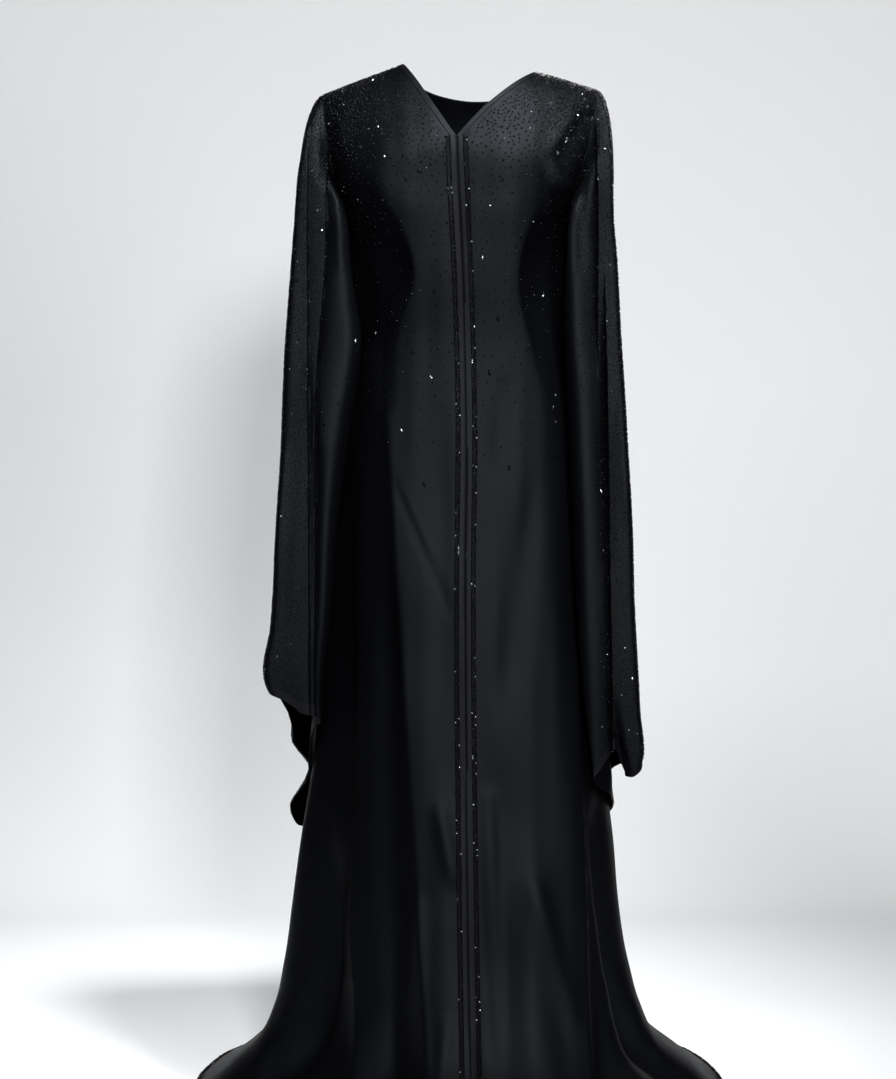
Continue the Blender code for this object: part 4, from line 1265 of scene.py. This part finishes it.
def bead_rows(name, points, normals, across, radius, pitch, lift, looks, seed, silver_share):
    """Staggered rows of beads along the cloth lines at the given grid columns."""
    rng = np.random.default_rng(seed)
    rows = []
    for number, column in enumerate(across):
        low = int(math.floor(column))
        high = min(low + 1, points.shape[1] - 1)
        part = column - low
        path = points[:, low] * (1 - part) + points[:, high] * part
        rows.append(path_places(path, normals[:, low], pitch, start=pitch * 0.5 * (number % 2)))
    places, normal, direction = (np.concatenate(values) for values in zip(*rows))
    direction = direction + rng.normal(0.0, ROW_TURN, direction.shape)
    normal = unit(normal + rng.normal(0.0, ROW_TILT, normal.shape))
    places = places + normal * lift + rng.normal(0.0, ROW_JITTER, places.shape)
    scatter_beads(name, dome_shape(radius, *ROW_BEAD_SHAPE), places, normal, direction, rng,
                  ROW_BEAD_SIZES, silver_share, looks, "row_bead")


def principled(name, colour, roughness, **settings):
    """A new material of one surface; further settings are named with _ for a space."""
    material = bpy.data.materials.new(name)
    material.use_nodes = True
    shader = material.node_tree.nodes["Principled BSDF"]
    shader.inputs["Base Color"].default_value = (*colour, 1.0)
    shader.inputs["Roughness"].default_value = roughness
    for word, value in settings.items():
        shader.inputs[word.replace("_", " ")].default_value = value
    return material


def add_node(material, kind, values, **wires):
    """A node with the given values, and with signals led into the inputs that are named."""
    node = material.node_tree.nodes.new(kind)
    for name, value in values.items():
        node.inputs[name].default_value = value
    for name, output in wires.items():
        material.node_tree.links.new(output, node.inputs[name])
    return node


def feed(material, name, output):
    """Leads a signal into one input of the material's surface."""
    shader = material.node_tree.nodes["Principled BSDF"]
    material.node_tree.links.new(output, shader.inputs[name])


def bump(material, height, distance, strength):
    """Feeds a height signal into the material's surface."""
    node = add_node(material, "ShaderNodeBump", {"Distance": distance, "Strength": strength}, Height=height)
    feed(material, "Normal", node.outputs["Normal"])


def cloth_coordinates(material):
    uv = material.node_tree.nodes.new("ShaderNodeUVMap")
    uv.uv_map = "cloth"
    return uv.outputs["UV"]


def noise(material, place, scale, detail=2.0, roughness=0.5):
    values = {"Scale": scale, "Detail": detail, "Roughness": roughness}
    return add_node(material, "ShaderNodeTexNoise", values, Vector=place).outputs["Fac"]


def vary_colour(material, signal, stops):
    """Base colour between two tones, each with its place on the signal."""
    ramp = add_node(material, "ShaderNodeValToRGB", {}, Fac=signal)
    for element, (position, colour) in zip(ramp.color_ramp.elements, stops):
        element.position = position
        element.color = (*colour, 1.0)
    feed(material, "Base Color", ramp.outputs["Color"])


def vary_roughness(material, signal, low, high):
    """Roughness between two values."""
    rough = add_node(material, "ShaderNodeMapRange", {"To Min": low, "To Max": high}, Value=signal)
    feed(material, "Roughness", rough.outputs["Result"])


def crepe_material(name, colour, roughness, grain):
    """Black satin crepe: fine crossed threads and slight changes of tone."""
    material = principled(name, colour, roughness, IOR=CLOTH_IOR, Specular_Tint=(0.84, 0.92, 1.0, 1.0))
    place = cloth_coordinates(material)
    dark = [value * 0.86 for value in colour]
    light = (colour[0] * 1.12, colour[1] * 1.08, colour[2] * 1.22)
    vary_colour(material, noise(material, place, 9.0, 3.0), ((0.30, dark), (0.70, light)))
    scale = {"Scale": (grain, grain * 0.55, 1.0)}
    stretched = add_node(material, "ShaderNodeMapping", scale, Vector=place)
    weave = noise(material, stretched.outputs["Vector"], 1.0, 2.5, 0.65)
    vary_roughness(material, weave, roughness - 0.05, roughness + 0.07)
    bump(material, weave, 0.00035, 0.7)
    return material


def band_material():
    """Tightly woven ribbon under the bead rows."""
    material = principled("bead_ribbon", CLOTH_BASE, CLOTH_ROUGHNESS, IOR=1.10)
    ribs = add_node(material, "ShaderNodeTexWave", {"Scale": 260.0}, Vector=cloth_coordinates(material))
    ribs.bands_direction = "Y"
    bump(material, ribs.outputs["Color"], 0.0003, 0.8)
    return material


def glass_bead_material():
    """Black faceted glass with small differences of polish."""
    material = principled("black_glass", BLACK_GLASS, 0.20, IOR=1.17, Specular_Tint=(0.90, 0.96, 1.0, 1.0))
    place = material.node_tree.nodes.new("ShaderNodeTexCoord")
    vary_roughness(material, noise(material, place.outputs["Object"], 190.0), 0.10, 0.22)
    return material


def silver_bead_material():
    """Silver-lined glass, pale and shiny."""
    material = principled("silver_glass", (0.62, 0.64, 0.68), 0.18, Metallic=0.85, Specular_IOR_Level=0.6)
    place = material.node_tree.nodes.new("ShaderNodeTexCoord")
    spots = noise(material, place.outputs["Object"], 150.0)
    vary_colour(material, spots, ((0.0, (0.40, 0.42, 0.46)), (1.0, (0.86, 0.88, 0.92))))
    return material


def make_looks():
    """Crepe, its borders, the ribbon, glass and thread; stones and rows are duller than beads."""
    return {
        "cloth": crepe_material("satin_crepe", CLOTH_BASE, CLOTH_ROUGHNESS, CLOTH_GRAIN),
        "border": crepe_material("satin_border", BORDER_BASE, BORDER_ROUGHNESS, BORDER_GRAIN),
        "ribbon": band_material(),
        "bead": glass_bead_material(),
        "silver": silver_bead_material(),
        "stone": principled("black_stone", BLACK_GLASS, 0.40, IOR=1.12),
        "row_bead": principled("row_bead_glass", BLACK_GLASS, 0.28, IOR=1.12),
        "thread": principled("thread", (0.0012, 0.0012, 0.0016), 0.5, IOR=1.15),
    }


def dress_front(side, points, drops, looks):
    """One front with its borders, bead band and stitches."""
    word = side_name(side)
    cloth_piece(f"front_{word}_cloth", points, looks["cloth"], nodes=("front_" + word,))
    normals, _ = grid_frame(points)
    v_row = int(np.searchsorted(drops, V_DROP - 1e-6))
    neck = (slice(0, v_row + 1), slice(0, EDGE_COLUMNS + 1))
    closing = (slice(v_row, None), slice(0, EDGE_COLUMNS + 1))
    band = (slice(v_row, None), slice(EDGE_COLUMNS, 2 * EDGE_COLUMNS + 1))
    border = laid_piece(f"neck_border_{word}", points[neck], normals[neck], looks["border"],
                        NECK_BORDER_RISE, ("neck_band_" + word,))
    laid_piece(f"closing_border_{word}", points[closing], normals[closing], looks["border"],
               CLOSING_BORDER_RISE)
    ribbon = laid_piece(f"bead_ribbon_{word}", points[band], normals[band], looks["ribbon"],
                        RIBBON_RISE, ("bead_band_" + word,))
    bead_rows(f"bead_band_{word}_row", ribbon, normals[band], BAND_ROW_PLACES, BAND_BEAD_RADIUS,
              BAND_BEAD_PITCH, RIBBON_RISE, looks, BAND_SEED + side, BAND_SILVER_SHARE)
    stitch_line(f"neck_stitches_{word}", border[:, EDGE_COLUMNS], normals[neck][:, EDGE_COLUMNS], looks,
                lift=BORDER_STITCH_LIFT)


def dress_hem(name, points, looks, seed):
    """Narrow edge and two rows of beads along the lower edge of a body piece."""
    lengths = np.linalg.norm(np.diff(points, axis=0), axis=-1).mean(axis=1)[::-1]
    rows = int(np.searchsorted(np.cumsum(lengths), HEM_EDGE)) + 1
    normals = grid_frame(points)[0][-rows - 1:]
    strip = laid_piece(name + "_edge", points[-rows - 1:], normals, looks["border"], HEM_EDGE_RISE)
    turned = strip.transpose(1, 0, 2)
    turned_normals = normals.transpose(1, 0, 2)
    bead_rows(name + "_bead", turned, turned_normals, [rows - up for up in HEM_ROW_PLACES],
              HEM_BEAD_RADIUS, HEM_BEAD_PITCH, HEM_EDGE_RISE, looks, seed, HEM_SILVER_SHARE)
    stitch_line(name + "_stitches", turned[:, 0], turned_normals[:, 0], looks, lift=EDGE_STITCH_LIFT)


def dress_sleeve(side, points, looks):
    """One sleeve with the plain satin edge of its cuff."""
    word = side_name(side)
    cloth_piece(f"sleeve_{word}_cloth", points, looks["cloth"], nodes=("sleeve_" + word,))
    normals, _ = grid_frame(points)
    steps = np.linspace(CUFF_EDGE, 0.0, CUFF_EDGE_ROWS)
    strip = []
    for column in range(points.shape[1]):
        upward = points[::-1][:CUFF_SEARCH_ROWS + 1, column]
        strip.append(read_line(steps, line_lengths(upward), upward))
    strip = laid_piece(f"cuff_edge_{word}", np.stack(strip, axis=1), normals[-CUFF_EDGE_ROWS:],
                       looks["border"], CUFF_EDGE_RISE)
    stitch_line(f"cuff_stitches_{word}", strip[0], normals[-CUFF_EDGE_ROWS], looks, lift=EDGE_STITCH_LIFT)
    stitch_line(f"armhole_stitches_{word}", points[2], normals[2], looks, pitch=ARMHOLE_STITCH_PITCH)


def dress_back_neck(looks):
    """Border of the back neckline."""
    left = 180.0 - turn_of_x(NECK_LEFT_X, 0.0)
    right = 180.0 - turn_of_x(NECK_RIGHT_X, 0.0)
    turns = np.linspace(left + BACK_NECK_MARGIN, right - BACK_NECK_MARGIN, BACK_NECK_COLUMNS)
    scoop = neck_scoop(body_point(turns, TOP_DROP)[:, 0])
    first = BACK_NECK_START + BACK_NECK_DROP * scoop
    width = BORDER_WIDTH * np.clip(scoop, BACK_NECK_NARROWEST, 1.0) ** 0.5
    drops = first[None, :] + width[None, :] * np.linspace(0.0, 1.0, BACK_NECK_ROWS)[:, None]
    points = fine_body_point(turns[None, :], drops)
    normals, _ = grid_frame(points)
    border = laid_piece("neck_border_back", points, normals, looks["border"], BACK_BORDER_RISE,
                        ("neck_band_back",))
    stitch_line("neck_stitches_back", border[-1], normals[-1], looks, lift=BORDER_STITCH_LIFT)


def nearest_on(points, normals, down, x, drop, toward):
    """Grid place nearest to a spot on the cloth that faces towards the given sign of y."""
    hidden = np.where(normals[..., 1] * toward > STONE_FACING, 0.0, 1.0)
    gap = np.hypot(points[..., 0] - x, points[..., 2] + drop) + hidden
    row, column = np.unravel_index(np.argmin(gap), gap.shape)
    return points[row, column], normals[row, column], down[row, column]


def set_stones(grids, looks):
    """Single long stones over the fronts, the back and the sleeves."""
    rng = np.random.default_rng(STONE_SEED)
    for look, material, scale in (("black", "stone", 1.0), ("silver", "silver", SILVER_STONE_SCALE)):
        found = []
        scales = []
        for name, stones in STONES[look].items():
            frame = grid_frame(grids[name])
            for x, drop, length in stones:
                found.append(nearest_on(grids[name], *frame, x, drop, 1 if name == "back" else -1))
                scales.append(length / STONE_SIZE[0] * scale)
        places, normals, directions = (np.array(values) for values in zip(*found))
        directions = directions + rng.normal(0.0, STONE_TURN, places.shape)
        scatter_mesh("long_stones_" + look, drop_shape(*STONE_SIZE), places, normals, directions,
                     np.array(scales), looks[material])


def dress(looks):
    """Every piece of the garment."""
    grids = {}
    beaded = slice(EDGE_COLUMNS * 2, None)
    for side in (RIGHT, LEFT):
        word = side_name(side)
        points, drops = fine_front(side)
        grids["front_" + word] = points
        dress_front(side, points, drops, looks)
        dress_hem(f"hem_{word}", points[:, beaded], looks, HEM_SEED + side)
        sow_beads(f"front_{word}_beads", points[:, beaded], body_density(points)[:, beaded],
                  FRONT_SEED + side, looks)
    back = fine_back()
    grids["back"] = back
    cloth_piece("back_cloth", back, looks["cloth"], nodes=("back",))
    dress_back_neck(looks)
    dress_hem("hem_back", back, looks, BACK_HEM_SEED)
    sow_beads("back_beads", back, body_density(back), BACK_SEED, looks)
    for side in (RIGHT, LEFT):
        word = side_name(side)
        points, around = fine_sleeve(side, grids["front_" + word], back, drops)
        grids["sleeve_" + word] = points
        dress_sleeve(side, points, looks)
        beaded_points = points[SLEEVE_BEAD_ROWS]
        density = sleeve_density(side, beaded_points, around)
        sow_beads(f"sleeve_{word}_beads", beaded_points, density, SLEEVE_SEED + side, looks,
                  SLEEVE_BEAD_RADIUS)
    set_stones(grids, looks)


def open_from_behind(material):
    """Lets the wall be looked through from its far side, so the back of the garment shows."""
    nodes, links = material.node_tree.nodes, material.node_tree.links
    side = nodes.new("ShaderNodeNewGeometry")
    clear = nodes.new("ShaderNodeBsdfTransparent")
    mix = nodes.new("ShaderNodeMixShader")
    links.new(side.outputs["Backfacing"], mix.inputs["Fac"])
    links.new(nodes["Principled BSDF"].outputs["BSDF"], mix.inputs[1])
    links.new(clear.outputs["BSDF"], mix.inputs[2])
    links.new(mix.outputs["Shader"], nodes["Material Output"].inputs["Surface"])


def backdrop():
    """Floor and wall joined by a sweep, all in one pale tone."""
    profile = [(BACKDROP_FRONT_Y, FLOOR_Z)]
    for step in range(SWEEP_STEPS + 1):
        angle = math.radians(90 * step / SWEEP_STEPS)
        profile.append((WALL_Y - SWEEP + SWEEP * math.sin(angle), FLOOR_Z + SWEEP * (1 - math.cos(angle))))
    profile.append((WALL_Y, BACKDROP_TOP))
    vertices = [(x, y, z) for y, z in profile for x in (-BACKDROP_HALF_WIDTH, BACKDROP_HALF_WIDTH)]
    faces = [(2 * i, 2 * i + 1, 2 * i + 3, 2 * i + 2) for i in range(len(profile) - 1)]
    mesh = bpy.data.meshes.new("backdrop")
    mesh.from_pydata(vertices, [], faces)
    mesh.shade_smooth()
    wall = principled("studio_wall", WALL_COLOUR, 0.9, Specular_IOR_Level=0.1,
                      Emission_Color=(*WALL_COLOUR, 1.0), Emission_Strength=WALL_GLOW)
    open_from_behind(wall)
    mesh.materials.append(wall)
    piece = add_object("backdrop", mesh)


def area_light(name, place, target, size, spread, power, colour):
    light = bpy.data.lights.new(name, "AREA")
    light.shape = "RECTANGLE"
    light.size, light.size_y = size
    light.spread = math.radians(spread)
    light.energy = power
    light.color = colour
    piece = add_object(name, light)
    piece.location = place
    direction = Vector(target) - Vector(place)
    piece.rotation_euler = direction.to_track_quat("-Z", "Y").to_euler()


def light_and_camera():
    scene = bpy.context.scene
    world = bpy.data.worlds.new("studio")
    world.use_nodes = True
    background = world.node_tree.nodes["Background"]
    background.inputs["Color"].default_value = (0.93, 0.96, 1.0, 1.0)
    background.inputs["Strength"].default_value = WORLD_STRENGTH
    scene.world = world
    scene.view_settings.view_transform = "Standard"
    for row in LIGHTS:
        area_light(*row)
    camera = bpy.data.cameras.new("camera")
    camera.sensor_fit = "HORIZONTAL"
    camera.sensor_width = SENSOR_WIDTH
    camera.lens = CAMERA_LENS
    piece = add_object("camera", camera)
    piece.location = CAMERA_PLACE
    piece.rotation_euler = (math.radians(90.0), 0.0, 0.0)
    scene.camera = piece


def main():
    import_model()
    looks = make_looks()
    dress(looks)
    backdrop()
    light_and_camera()


main()
